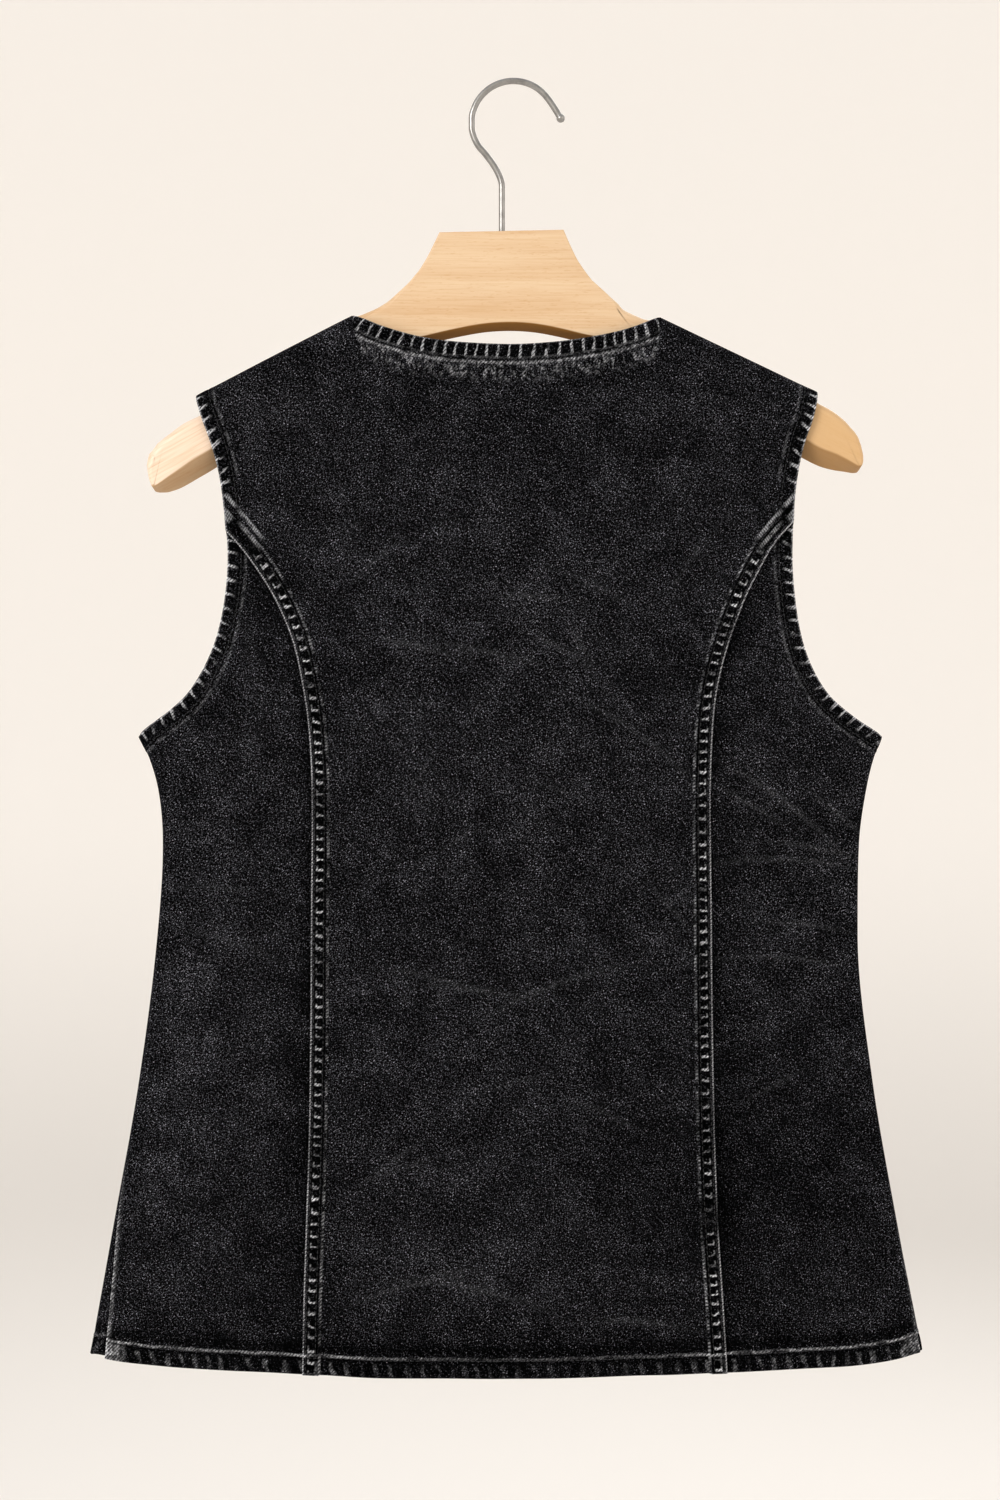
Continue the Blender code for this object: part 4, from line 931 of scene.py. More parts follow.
    def line(self, edge, distance):
        """The outer face's points and normals at a set distance in from an edge, and their shares of it."""
        outer, _, out = self.faces()
        down = edge in ("left", "right")
        grids = [outer, out, (self.v if down else self.u)[..., None], getattr(self, edge + "_in")[..., None]]
        if not down:
            grids = [grid.swapaxes(0, 1) for grid in grids]
        if edge in ("right", "bottom"):
            grids = [grid[:, ::-1] for grid in grids]
        inside = grids[3][..., 0]
        each = np.arange(len(inside))
        after = np.maximum(np.argmax(inside >= distance, axis=1), 1)
        low = inside[each, after - 1]
        part = ((distance - low) / (inside[each, after] - low))[:, None]
        found = [grid[each, after - 1] * (1 - part) + grid[each, after] * part for grid in grids[:3]]
        return found[0], found[1], found[2][:, 0]


def mirrored(side, pair):
    """An inner and an outer thing put left to right, or a left and a right one put inner to outer: on the
    left half the two change places."""
    return pair if side == RIGHT else pair[::-1]


def beside_lap(distance):
    """How dark the cloth is beside a lap: partly dye that the lap has kept from wear and partly painted
    shadow of its edge; most at the lap's edge, nearly gone 30 mm from it.
    """
    return -0.85 * np.exp(-(distance / 0.005) ** 2) - 0.30 * np.exp(-(distance / 0.022) ** 2)


def above_hem(distance):
    """The darkening just above the hem's ridge: partly dye that the fold has kept from the wash, partly
    painted shade in that recess.
    """
    return -1.1 * dent(distance, 0.0172, 0.0060) - 0.35 * np.exp(-((distance - 0.016) / 0.016) ** 2)


@lru_cache(maxsize=None)
def centre_back(crease):
    """The centre back: neck and shoulders above, upper armholes and princess laps at its sides."""
    sides = []
    for side in (LEFT, RIGHT):
        armhole = armhole_run(side, BACK, shoulder(TIPS[side]), JUNCTIONS[side])
        sides.append(Outline([armhole, princess_run(side, np.zeros_like)], [0.0, JUNCTION_ROW, 1.0]))
    feet = [edge.at(np.array(1.0))[0] for edge in sides]
    top = Outline([shoulder_run(TIPS[0], NECK_POINTS[0]), back_neck_run(),
                   shoulder_run(NECK_POINTS[1], TIPS[1])], [0.0, *NECK_COLUMNS, 1.0])
    bottom = Outline([hem_run(*feet)], [0.0, 1.0])
    cloth = Cloth(BACK, *sides, top, bottom, (EDGE_LINES, NECK_COLUMNS, BACK_COUNTS[0], EDGE_LINES),
                  (ROLL_LINES, (JUNCTION_ROW,), BACK_COUNTS[1], HEM_LINES), crease)
    left = cloth.left_in < cloth.right_in
    inside = np.minimum(cloth.left_in, cloth.right_in)
    past = np.where(left, cloth.left_along - sides[0].reach[1], cloth.right_along - sides[1].reach[1])
    lapped = ramp(past, -0.012, -0.001)
    cloth.rise = LAP_RISE * ramp(inside, LAP + STEP, LAP) * lapped
    worn = np.where(left, through(LAP_WEAR, cloth.up, 1), through(LAP_WEAR, cloth.up, 2))
    seed = np.where(left, 0.4, 2.9)
    cloth.stitch_band(inside, past, LAP, LAP_STITCHES, LAP_PERIOD, seed, lapped, 0.00026, "lap", worn)
    cloth.out += 0.00012 * dent(inside, 0.0009, 0.0010) * lapped
    steep = STRAND_WAY[1] * cloth.up - STRAND_WAY[0] * np.abs(cloth.across)
    along = -STRAND_WAY[1] * np.abs(cloth.across) - STRAND_WAY[0] * cloth.up
    joined = ramp(inside, 0.0175, 0.0140) * ramp(along, 0.134, 0.118) * ramp(along, 0.080, 0.084)
    cloth.strand[:] = np.stack([steep - STRAND_LINE, along / STRAND_PITCH, joined], axis=-1)
    off_shoulder = 1.0 - ramp(cloth.top_in, 0.004, 0.001)
    cloth.turn_band(inside, past, BAND_PERIOD, seed, (1.0 - lapped) * off_shoulder, 0.00034)
    in_neck = (cloth.u > NECK_COLUMNS[0] + 0.0005) & (cloth.u < NECK_COLUMNS[1] - 0.0005)
    cloth.turn_band(cloth.top_in, cloth.top_along, NECK_PERIOD, 1.7, 1.0 * in_neck, 0.00030, "neck")
    cloth.turn_hem(0.9, 1.0, 0.00036, through(HEM_WEAR, cloth.across))
    return cloth


@lru_cache(maxsize=None)
def side_back(side, crease):
    """A side back: the lower armhole above, the side seam outside, its inner edge under the princess lap."""
    def under(length):
        return (LAP + SEAM_GAP) * ramp(length, 0.0, LAP_RUN_IN) - SEAM_GAP

    inner = princess_run(side, under)
    outer = side_run(side, BACK)
    armhole = armhole_run(side, BACK, JUNCTIONS[side], UNDERARM)
    armhole[0] = inner[0]
    hem = hem_run(inner[-1, 0], outer[-1, 0])
    outer[-1] = hem[-1]
    if side == LEFT:
        armhole = armhole[::-1]
        hem = hem[::-1]
    left, right = mirrored(side, (Outline([inner], [0.0, 1.0]), Outline([outer], [0.0, 1.0])))
    first, last = mirrored(side, (EDGE_LINES[::2] + (0.0160,), SEAM_LINES))
    cloth = Cloth(BACK, left, right, Outline([armhole], [0.0, 1.0]), Outline([hem], [0.0, 1.0]),
                  (first, (), SIDE_COUNTS[0], last), (EDGE_LINES, (), SIDE_COUNTS[1], HEM_LINES), crease)
    from_inner, from_outer = mirrored(side, (cloth.left_in, cloth.right_in))
    inner_along = mirrored(side, (cloth.left_along, cloth.right_along))[0]
    from_lap = from_inner - np.where(cloth.up > JUNCTIONS[side] - 0.04, under(inner_along), LAP)
    seen = ramp(from_lap, 0.0005, 0.0060)
    cloth.turn_band(cloth.top_in, cloth.top_along, BAND_PERIOD, 0.3 + side, ramp(from_lap, 0.0, 0.0015),
                    0.00034)
    cloth.folds = cloth.folds * np.where(cloth.up > -0.30, seen, 1.0)
    cloth.turn_hem(0.9, ramp(from_lap, -0.001, 0.001), 0.00036, through(HEM_WEAR, cloth.across))
    # Beside the lap the cloth is darkened: partly kept dye, partly painted shadow of the lap's edge.
    cloth.shade = cloth.shade + beside_lap(np.maximum(from_lap, 0.0))
    low = ramp(-cloth.up, 0.660, 0.740) * SEAM_WORN[side]
    seam_rubbed = 1.60 * np.exp(-(from_outer / 0.0015) ** 2)
    corner_rubbed = dent(from_outer, 0.0045, 0.0085) * ramp(cloth.bottom_in, 0.0110, 0.0098)
    cloth.worn = cloth.worn + low * (seam_rubbed + corner_rubbed)
    return cloth


@lru_cache(maxsize=None)
def front(side, crease):
    """A front: shoulder above, neck and closure inside, armhole and side seam outside.  The wearer's right
    front, on +X, laps over the left one."""
    sign = SIGNS[side]
    neck = front_neck_run(side)
    foot = float(hem_line(-sign * CLOSURE))
    closure = np.array([neck[-1], (-sign * CLOSURE, foot)])
    inner = Outline([neck, closure], [0.0, NECK_ROW, 1.0])
    armhole = armhole_run(side, FRONT, shoulder(TIPS[side]), UNDERARM)
    seam = side_run(side, FRONT)
    hem = hem_run(-sign * CLOSURE, seam[-1, 0])
    seam[-1] = hem[-1]
    outer = Outline([armhole, seam], [0.0, ARM_ROW, 1.0])
    over = shoulder_run(NECK_POINTS[side], TIPS[side])
    if side == LEFT:
        over = over[::-1]
        hem = hem[::-1]
    left, right = mirrored(side, (inner, outer))
    cloth = Cloth(FRONT, left, right, Outline([over], [0.0, 1.0]), Outline([hem], [0.0, 1.0]),
                  (EDGE_LINES, (), FRONT_COUNTS[0], EDGE_LINES),
                  (ROLL_LINES, (NECK_ROW, ARM_ROW), FRONT_COUNTS[1], HEM_LINES), crease)
    from_inner, from_outer = mirrored(side, (cloth.left_in, cloth.right_in))
    inner_along, outer_along = mirrored(side, (cloth.left_along, cloth.right_along))
    off_seam = ramp(cloth.top_in, 0.002, 0.006)
    cloth.turn_band(from_inner, inner_along, BAND_PERIOD, 2.2 + side, off_seam, 0.00026, strength=0.85)
    on_armhole = ramp(outer_along, outer.reach[1] + 0.001, outer.reach[1] - 0.004)
    cloth.turn_band(from_outer, outer_along, BAND_PERIOD, 1.2 + side, on_armhole * off_seam, 0.00032)
    cloth.turn_hem(2.4, 1.0, 0.00034, 0.55 + 0.35 * np.sin(cloth.across / 0.031 + 1.0))
    if side == RIGHT:
        lap_edge = 2 * CLOSURE + CLOSURE_CLEAR
        cloth.rise = LAP_RISE * ramp(from_inner, lap_edge + 2 * STEP, lap_edge)
        cloth.rise = cloth.rise * ramp(-cloth.up, 0.270, 0.310)
    flat = np.exp(-(np.abs(cloth.across) / 0.034) ** 4)
    cloth.folds = cloth.folds * (1.0 - flat)
    return cloth


# Meshes.

def mesh_object(name, points, faces, material):
    """A mesh from an array of points and arrays of faces, one array for each number of corners."""
    mesh = bpy.data.meshes.new(name)
    mesh.vertices.add(len(points))
    mesh.vertices.foreach_set("co", np.ascontiguousarray(points, dtype=np.float32).ravel())
    corners = np.concatenate([np.asarray(group).ravel() for group in faces])
    totals = np.concatenate([np.full(len(group), np.asarray(group).shape[1]) for group in faces])
    starts = np.concatenate(([0], np.cumsum(totals)[:-1]))
    mesh.loops.add(len(corners))
    mesh.loops.foreach_set("vertex_index", corners.astype(np.int32))
    mesh.polygons.add(len(totals))
    mesh.polygons.foreach_set("loop_start", starts.astype(np.int32))
    mesh.update(calc_edges=True)
    mesh.validate()
    mesh.shade_smooth()
    mesh.materials.append(material)
    item = bpy.data.objects.new(name, mesh)
    bpy.context.scene.collection.objects.link(item)
    return item


def carry(item, slot, *nodes):
    """The piece rides on the one body and stands for the nodes.  The slot is not used."""
    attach(item, "root")
    if nodes:
        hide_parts(*nodes)
    return item


def grid_quads(rows, columns):
    """The squares of a grid of points."""
    index = np.arange(rows * columns).reshape(rows, columns)
    return np.stack([index[:-1, :-1], index[:-1, 1:], index[1:, 1:], index[1:, :-1]], axis=-1).reshape(-1, 4)


def ring_quads(rings, sides):
    """The squares between rings of points, each ring closed on itself."""
    index = np.arange(rings * sides).reshape(rings, sides)
    around = np.concatenate([index, index[:, :1]], axis=1)
    quads = [around[:-1, :-1], around[1:, :-1], around[1:, 1:], around[:-1, 1:]]
    return np.stack(quads, axis=-1).reshape(-1, 4)


def tubes(count, rings, sides):
    """The faces of count tubes, each of as many rings, closed by an end of as many sides."""
    ring = np.arange(sides)
    ends = np.stack([ring, ring[::-1] + (rings - 1) * sides])
    shift = (np.arange(count) * rings * sides)[:, None, None]
    return [(faces[None] + shift).reshape(-1, faces.shape[1]) for faces in (ring_quads(rings, sides), ends)]


def add_attribute(mesh, name, values):
    """Three numbers on each point, for the material to read."""
    layer = mesh.attributes.new(name, 'FLOAT_VECTOR', 'POINT')
    layer.data.foreach_set("vector", np.ascontiguousarray(values, dtype=np.float32).ravel())


def cloth_object(name, cloth, material):
    """The panel as a closed shell: its outer and inner faces, joined round the rim, with what the material
    reads at each point: its place in the weave and on laps, bands and hem, how much lighter or darker it is
    made, partly by painted shadow, and how worn it is."""
    outer, inner, _ = cloth.faces()
    rows, columns = outer.shape[:2]
    quads = grid_quads(rows, columns)
    index = np.arange(rows * columns).reshape(rows, columns)
    rim = np.concatenate([index[0, :], index[1:, -1], index[-1, -2::-1], index[-2:0:-1, 0]])
    following = np.roll(rim, -1)
    shift = rows * columns
    faces = np.concatenate([
        quads, quads[:, ::-1] + shift,
        np.stack([following, rim, rim + shift, following + shift], axis=1)])
    if cloth.face < 0:
        faces = faces[:, ::-1]
    item = mesh_object(name, np.concatenate([outer.reshape(-1, 3), inner.reshape(-1, 3)]), [faces], material)
    blank = np.zeros_like(cloth.across)
    weave = [np.stack([cloth.across, cloth.up, blank + flag], axis=-1).reshape(-1, 3) for flag in (0.0, 1.0)]
    add_attribute(item.data, "weave", np.concatenate(weave))
    for kind in MARKS:
        mark = getattr(cloth, kind).reshape(-1, 3)
        add_attribute(item.data, kind, np.concatenate([mark, mark * (1.0, 1.0, 0.0)]))
    tone = [np.stack([cloth.shade, cloth.worn, blank], axis=-1).reshape(-1, 3),
            np.stack([0.3 * cloth.shade, blank, blank], axis=-1).reshape(-1, 3)]
    add_attribute(item.data, "tone", np.concatenate(tone))
    return item


def stitches(points, normals, pitch, radius):
    """Stitches along a line on the cloth: each is a round thread on an arch that rises from the cloth and
    dips back into it, a tube of a few rings, computed for all the stitches at once."""
    length = lengths(points)
    first = (np.arange(int(length[-1] / pitch)) + STITCH_START) * pitch
    stations = np.linspace(0.0, 1.0, len(STITCH_SWELL))
    at = first[:, None] + stations[None, :] * pitch * STITCH_SHOWN
    line = np.stack([np.interp(at, length, points[:, axis]) for axis in range(3)], axis=-1)
    out = np.stack([np.interp(at, length, normals[:, axis]) for axis in range(3)], axis=-1)
    out /= np.linalg.norm(out, axis=-1, keepdims=True)
    way = np.gradient(line, axis=1)
    way /= np.linalg.norm(way, axis=-1, keepdims=True)
    beside = np.cross(way, out)
    arch = (np.sin(pi * stations) * 1.1 - 0.55) * radius
    swell = np.array(STITCH_SWELL) * radius
    angle = np.arange(STITCH_SIDES) * tau / STITCH_SIDES
    ring = (beside[:, :, None, :] * np.cos(angle)[None, None, :, None]
            + out[:, :, None, :] * np.sin(angle)[None, None, :, None])
    rings = (line + out * arch[None, :, None])[:, :, None, :] + ring * swell[None, :, None, None]
    return rings.reshape(-1, 3)


# Shaders.

class Value:
    """A shader socket in an expression: each operation on it adds the Math node that does it."""

    def __init__(self, finish, socket):
        self.finish = finish
        self.socket = socket

    def math(self, operation, *others):
        """This socket and the others, put through one operation."""
        return self.finish.node('ShaderNodeMath', {"operation": operation}, dict(enumerate((self, *others))))

    def __add__(self, other):
        return self.math('ADD', other)

    def __sub__(self, other):
        return self.math('SUBTRACT', other)

    def __mul__(self, other):
        return self.math('MULTIPLY', other)

    def __truediv__(self, other):
        return self.math('DIVIDE', other)

    def __rsub__(self, other):
        return self.finish.node('ShaderNodeMath', {"operation": 'SUBTRACT'}, {0: other, 1: self})

    def __rtruediv__(self, other):
        return self.finish.node('ShaderNodeMath', {"operation": 'DIVIDE'}, {0: other, 1: self})

    __radd__ = __add__
    __rmul__ = __mul__

    def sine(self):
        return self.math('SINE')

    def wave(self):
        """1 on each whole number and 0 midway."""
        return (self * tau).math('COSINE') * 0.5 + 0.5

    def exponent(self):
        return self.math('EXPONENT')

    def largest(self, other):
        return self.math('MAXIMUM', other)

    def step(self, low, high):
        """0 up to low, 1 from high and a smooth step between them; low may be the higher of the two."""
        return self.finish.node('ShaderNodeMapRange', {"interpolation_type": 'SMOOTHSTEP'},
                                {0: self, 1: min(low, high), 2: max(low, high),
                                 3: float(low > high), 4: float(high > low)})

    def window(self, low, high, soft):
        """1 between low and high, with soft edges."""
        return self.step(low - soft, low + soft) * self.step(high + soft, high - soft)


class Finish:
    """A material's nodes, all made by node()."""

    def __init__(self, name):
        self.material = bpy.data.materials.new(name)
        self.material.use_nodes = True
        self.tree = self.material.node_tree
        self.tree.nodes.clear()

    def node(self, kind, settings=None, values=None, output=0):
        """A node of this kind: its settings first, then its sockets' values or links.  Gives one output, and
        nothing for the node that has none."""
        node = self.tree.nodes.new(kind)
        for key, value in (settings or {}).items():
            setattr(node, key, value)
        for key, value in (values or {}).items():
            if isinstance(value, Value):
                self.tree.links.new(value.socket, node.inputs[key])
            else:
                node.inputs[key].default_value = value
        return Value(self, node.outputs[output]) if node.outputs else None

    def attribute(self, name):
        """An attribute's three numbers."""
        vector = self.node('ShaderNodeAttribute', {"attribute_name": name}, None, "Vector")
        return [self.node('ShaderNodeSeparateXYZ', None, {0: vector}, axis) for axis in range(3)]

    def place(self):
        return self.node('ShaderNodeTexCoord', None, None, "Object")

    def combine(self, x, y, z):
        return self.node('ShaderNodeCombineXYZ', None, {0: x, 1: y, 2: z})

    def noise(self, vector, scale, detail=2.0, roughness=0.55):
        return self.node('ShaderNodeTexNoise', {"noise_dimensions": '3D'},
                         {"Vector": vector, "Scale": scale, "Detail": detail, "Roughness": roughness}, "Fac")

    def blend(self, share, first, second):
        """Two colours mixed."""
        colours = [colour if isinstance(colour, Value) else (*colour, 1.0) for colour in (first, second)]
        values = {0: share, 6: colours[0], 7: colours[1]}
        return self.node('ShaderNodeMix', {"data_type": 'RGBA'}, values, 2)

    def tinted(self, share, colour):
        """The colour times the share."""
        return self.node('ShaderNodeVectorMath', {"operation": 'SCALE'}, {0: tuple(colour), 3: share})

    def added(self, one, other):
        return self.node('ShaderNodeVectorMath', {"operation": 'ADD'}, {0: one, 1: other})

    def bump(self, height, distance, strength=1.0):
        values = {"Strength": strength, "Distance": distance, "Height": height}
        return self.node('ShaderNodeBump', None, values)

    def surface(self, values):
        """The material, with these values on its one shader."""
        shader = self.node('ShaderNodeBsdfPrincipled', None, values)
        self.node('ShaderNodeOutputMaterial', None, {"Surface": shader})
        return self.material


def scaled(colour, share):
    """The colour, lighter or darker by the share."""
    return tuple(share * part for part in colour)


def marks(f, name):
    """What the cloth carries for one kind of edge: millimetres in from it, a count along it, and its wear."""
    inside, count, strength = f.attribute(name)
    return inside * 1000.0, count, strength


def patchy(f, inside, count, inside_rate, count_rate, slide):
    """Noise that follows an edge: slow across it and quicker along it, and another one for each slide."""
    return f.noise(f.combine(inside * inside_rate, count * count_rate, slide), 1.0, 2.0, 0.6)


def worn_strands(f):
    """Where lap and armhole meet, bare threads lie in strands across both: how bare, and how far off."""
    inside, count, joined = marks(f, "strand")
    torn = patchy(f, inside, count, 0.7, 0.35, 4.0).step(0.36, 0.56) * 1.5 + 0.1
    threads = (count + inside * 0.25).wave() * 0.8 + 0.2
    strands = 0.0
    for near, far, soft, first, last, fading, share in STRANDS:
        strands = inside.window(near, far, soft) * count.window(first, last, fading) * share + strands
    return strands * threads * torn * joined, 1.0 - joined


def worn_lap(f, parted):
    """How bare and how dark a lap is: a rope of bare threads on its fold, a rung on each pucker between its
    rows of stitches, dots over its hidden edge, and dark cloth around the rungs."""
    inside, count, strength = marks(f, "lap")
    uneven = patchy(f, inside, count, 0.12, 0.9, 0.0)
    rope = (count * 5.6 + inside * 0.40).wave() * 0.75 + 0.25
    rubs = f.noise(f.combine(0.0, count * 1.3, 7.0), 1.0, 1.0, 0.5).step(0.36, 0.56) * 1.6 + 0.18
    uneven_count = count + (uneven - 0.5) * 0.75
    rung = uneven_count.wave().step(0.82, 0.97) * inside.window(*LAP_RUNGS, 0.6) * parted
    hooked = (uneven_count + 0.18).wave().step(0.45, 0.75) * inside.window(*LAP_HOOKS, 0.3) * parted
    dots = (count * 3.1 + uneven).wave() * 0.9 + 0.2
    bare = inside.step(LAP_ROPE, 0.70) * rope * 1.8
    bare = bare + (rung + hooked * 0.5) * rubs
    bare = bare + inside.window(*LAP_DOTS, 0.35) * uneven.step(0.40, 0.60) * dots * parted
    dark = inside.window(*LAP_DYED, 0.4) * (1.0 - rung) * 2.0
    return bare * strength, dark * strength.step(0.0, 0.4)


def worn_neck(f, mottle, streaks):
    """How bare and how dark the neck is: bars across its turned edge, a line along the stitches, a ridge over
    the turned edge's own end, a rubbed fold, streaks below them all, and dark cloth around the bars."""
    inside, count, strength = marks(f, "neck")
    thready = patchy(f, inside, count, 0.10, 0.9, 9.0)
    bar = (count + (thready - 0.5) * 0.60 + inside * 0.022).wave() + inside * 0.012
    bar = bar.step(0.89, 1.02) * inside.step(*NECK_BARS)
    raised = (inside + (thready - 0.5) * 1.6).window(*NECK_RIDGE, 0.6) * thready.step(0.28, 0.58)
    bare = bar * (thready.step(0.30, 0.54) * 1.05 + 0.12)
    bare = bare + inside.window(*NECK_LINE, 0.4) * thready.step(0.36, 0.60) * 0.25
    bare = bare + raised * (mottle * 0.60 + 0.34)
    bare = bare + inside.step(1.1, 0.4) * thready.step(0.34, 0.58) * 0.55
    bare = bare + inside.window(*NECK_STREAKS, 4.0) * streaks.step(0.42, 0.66) * mottle * 0.85
    dark = inside.step(11.0, 10.2) * (1.0 - bar) * 1.3
    return bare * strength, dark * strength.step(0.0, 0.4)


def worn_band(f, parted):
    """How bare and how dark an armhole or the closure is: ticks in from its fold, the rubbed fold itself, a
    faint ridge over the turned edge's own end, and dark cloth around the ticks."""
    inside, count, strength = marks(f, "band")
    frayed = patchy(f, inside, count, 0.09, 1.3, 3.0)
    tick = (count + (frayed - 0.5) * 0.60 + inside * 0.03).wave() + inside.step(3.0, 0.2) * 0.09
    tick = tick.step(0.84, 0.97) * inside.step(7.4, 2.4) * parted
    bare = tick * (frayed.step(0.34, 0.54) * 1.35 + 0.12)
    bare = bare + inside.step(1.3, 0.5) * (frayed.step(0.34, 0.58) * 0.75 + 0.25)
    bare = bare + inside.window(*BAND_RIDGE, 0.6) * frayed.step(0.36, 0.62) * parted * 0.26
    dark = inside.step(10.2, 9.6) * (1.0 - tick)
    return bare * strength, dark * strength.step(0.0, 0.4)


def worn_hem(f, mottle):
    """How bare and how dark the hem is: an uneven ridge over its turned edge's own end, streaks between it
    and the fold, the rubbed fold itself, and dark cloth around the streaks."""
    inside, count, strength = marks(f, "hem")
    ragged = patchy(f, inside, count, 0.10, 0.8, 6.0)
    streak = (count + inside * 0.02 + (ragged - 0.5) * 0.9).wave().step(0.62, 0.94)
    streak = streak * inside.step(9.4, 7.2)
    raised = (inside + (ragged - 0.5) * 3.4).window(*HEM_RIDGE, 0.40) * (ragged.step(0.32, 0.54) + 0.15)
    bare = raised * (mottle + 0.5)
    bare = bare + streak * ragged.step(0.36, 0.58) * (mottle * 0.50 + 0.12)
    bare = bare + inside.step(0.9, 0.3) * ragged.step(0.36, 0.60) * 0.30
    dark = inside.step(11.2, 10.6) * (1.0 - streak) * 1.2
    return bare * strength, dark * strength.step(0.0, 0.1)


def denim(cloth):
    """Washed black twill.  Its grey is the exponential of flecks, clouds, lighter and darker patches and the
    darkening beside laps and above the hem (partly painted shadow), which gives many dark threads and a few
    light ones; the rubbed ridges of laps, bands and hem show bare threads."""
    f = Finish("black_denim")
    across, up, inner = f.attribute("weave")
    shade, worn, _ = f.attribute("tone")
    twill = (across + up) * (0.7071 / cloth.weave)
    weft = (up - across) * (0.7071 / cloth.weave)
    threads = (weft * 4.3).sine() * 0.5 + 0.5
    flecks = f.noise(f.combine(twill * 0.55, weft, inner * 7.0), 1.75, 1.0, 0.6)
    place = f.combine(across, up, inner)
    pits = f.noise(place, 880.0, 0.0, 0.5).step(0.52, 0.36)
    fine = f.noise(place, 1900.0, 0.0, 0.5)
    clouds = f.noise(place, 42.0, 3.0, 0.62)
    crinkle = f.noise(f.combine(across, up * 1.5, inner), 85.0, 1.0, 0.55)
    crinkle = (crinkle - 0.5).math('ABSOLUTE').step(0.030, 0.004) * clouds.step(0.42, 0.56)
    streaks = f.noise(f.combine(across * 2.2, up, inner), 130.0, 2.0, 0.6)
    mottle = f.noise(f.combine(across, up * 0.8, inner), 420.0, 1.0, 0.6).step(0.40, 0.62)
    lightness = (flecks - 0.5) * cloth.fleck + (fine - 0.5) * 11.0 - pits * 1.6
    lightness = lightness + (clouds - 0.5) * cloth.clouds + (streaks - 0.5) * 1.1 + crinkle * 0.75
    # shade holds the lighter and darker patches and the darkening beside laps and above the hem, which is
    # partly painted shadow.
    lightness = lightness + shade + inner * 0.75 + log(cloth.grey)
    rubbed = worn * (mottle * 0.95 + 0.18)
    strands, parted = worn_strands(f)
    for bare, dark in (worn_lap(f, parted), worn_band(f, parted), worn_neck(f, mottle, streaks),
                       worn_hem(f, mottle)):
        rubbed = rubbed + bare
        lightness = lightness - dark
    rubbed = rubbed * (threads * 0.65 + flecks.step(0.42, 0.66) * 0.45) + strands * 0.55
    dye = lightness.exponent()
    dye = dye / (dye * DYE_LIMIT + 1.0)
    height = (twill * 2.0).sine() * 0.35 + flecks * 0.9 + rubbed * 0.6
    return f.surface({
        "Base Color": f.added(f.tinted(dye, cloth.tint), f.tinted(rubbed, cloth.worn)),
        "Roughness": 0.95,
        "Specular IOR Level": 0.01,
        "Normal": f.bump(height, 0.00022, 0.8),
    })


def thread(settings):
    """Black polyester thread: a ply's twist as a fine bump, and a slight sheen."""
    f = Finish("black_thread")
    place = f.place()
    ply = f.noise(place, 2600.0, 1.0, 0.5)
    return f.surface({
        "Base Color": f.blend(ply, scaled(settings.colour, 0.6), scaled(settings.colour, 1.8)),
        "Roughness": 0.6,
        "Specular IOR Level": 0.35,
        "Normal": f.bump(ply, 0.0001),
    })


def beech(settings):
    """Lacquered beech: long grain lines along the arms, short dark rays and slow colour bands, with painted
    shade on the faces that point down, darkest under the arch.
    """
    f = Finish("beech")
    place = f.place()
    x, y, z = (f.node('ShaderNodeSeparateXYZ', None, {0: place}, axis) for axis in range(3))
    z = z + (x.math('ABSOLUTE') - 0.085).largest(0.0) * 0.55
    bands = f.noise(f.combine(x * 5.0, y * 30.0, z * 60.0), 1.0, 3.0, 0.55)
    lines = f.noise(f.combine(x * 26.0, y * 500.0, z * 900.0), 1.0, 3.0, 0.6)
    rays = f.noise(f.combine(x * 240.0, y * 900.0, z * 1500.0), 1.0, 1.0, 0.5).step(0.62, 0.72)
    grain = (z * 420.0 + bands * 16.0).sine() * 0.5 + 0.5
    dark = grain * 0.20 + lines.step(0.40, 0.75) * 0.38 + rays * 0.32 + bands.step(0.35, 0.75) * 0.30
    under, painted_highlight, darker_right_end = f.attribute("wood")
    face = f.blend(dark, settings.light_wood, settings.dark_wood)
    # Painted highlight: the front of the left arm's end is lightened between its grain lines.
    face = f.blend(painted_highlight * under.step(0.20, 0.05) * lines.step(1.0, 0.2) * 0.9, face, (0.98, 0.78, 0.63))
    # The right arm's end is made a darker, deeper orange.
    face = f.blend(darker_right_end * 0.70, face, (0.66, 0.40, 0.17))
    # Painted shade: the faces that point down turn to this darker colour, with less coat and more roughness.
    painted_shade_colour = tuple(part * share for part, share in zip(settings.dark_wood, (0.42, 0.30, 0.10)))
    return f.surface({
        "Base Color": f.blend(under, face, painted_shade_colour),
        "Roughness": 0.34 + lines * 0.16 + under * 0.45,
        "Specular IOR Level": 0.25,
        "Coat Weight": 0.22 * (1.0 - under),
        "Coat Roughness": 0.22,
        "Normal": f.bump(lines * 0.7 + rays * 0.3, 0.00008, 0.5),
    })


def steel(settings):
    """Drawn steel wire: fine scratches and slight stains under an even satin."""
    f = Finish("steel")
    place = f.place()
    stain = f.noise(place, 180.0, 3.0, 0.6)
    scratch = f.noise(place, 2600.0, 2.0, 0.6)
    return f.surface({
        "Base Color": f.blend(stain.step(0.35, 0.75), settings.steel, scaled(settings.steel, 0.72)),
        "Metallic": 1.0,
        "Roughness": scratch * 0.22 + (settings.gloss - 0.10),
        "Normal": f.bump(scratch, 0.00003, 0.5),
    })


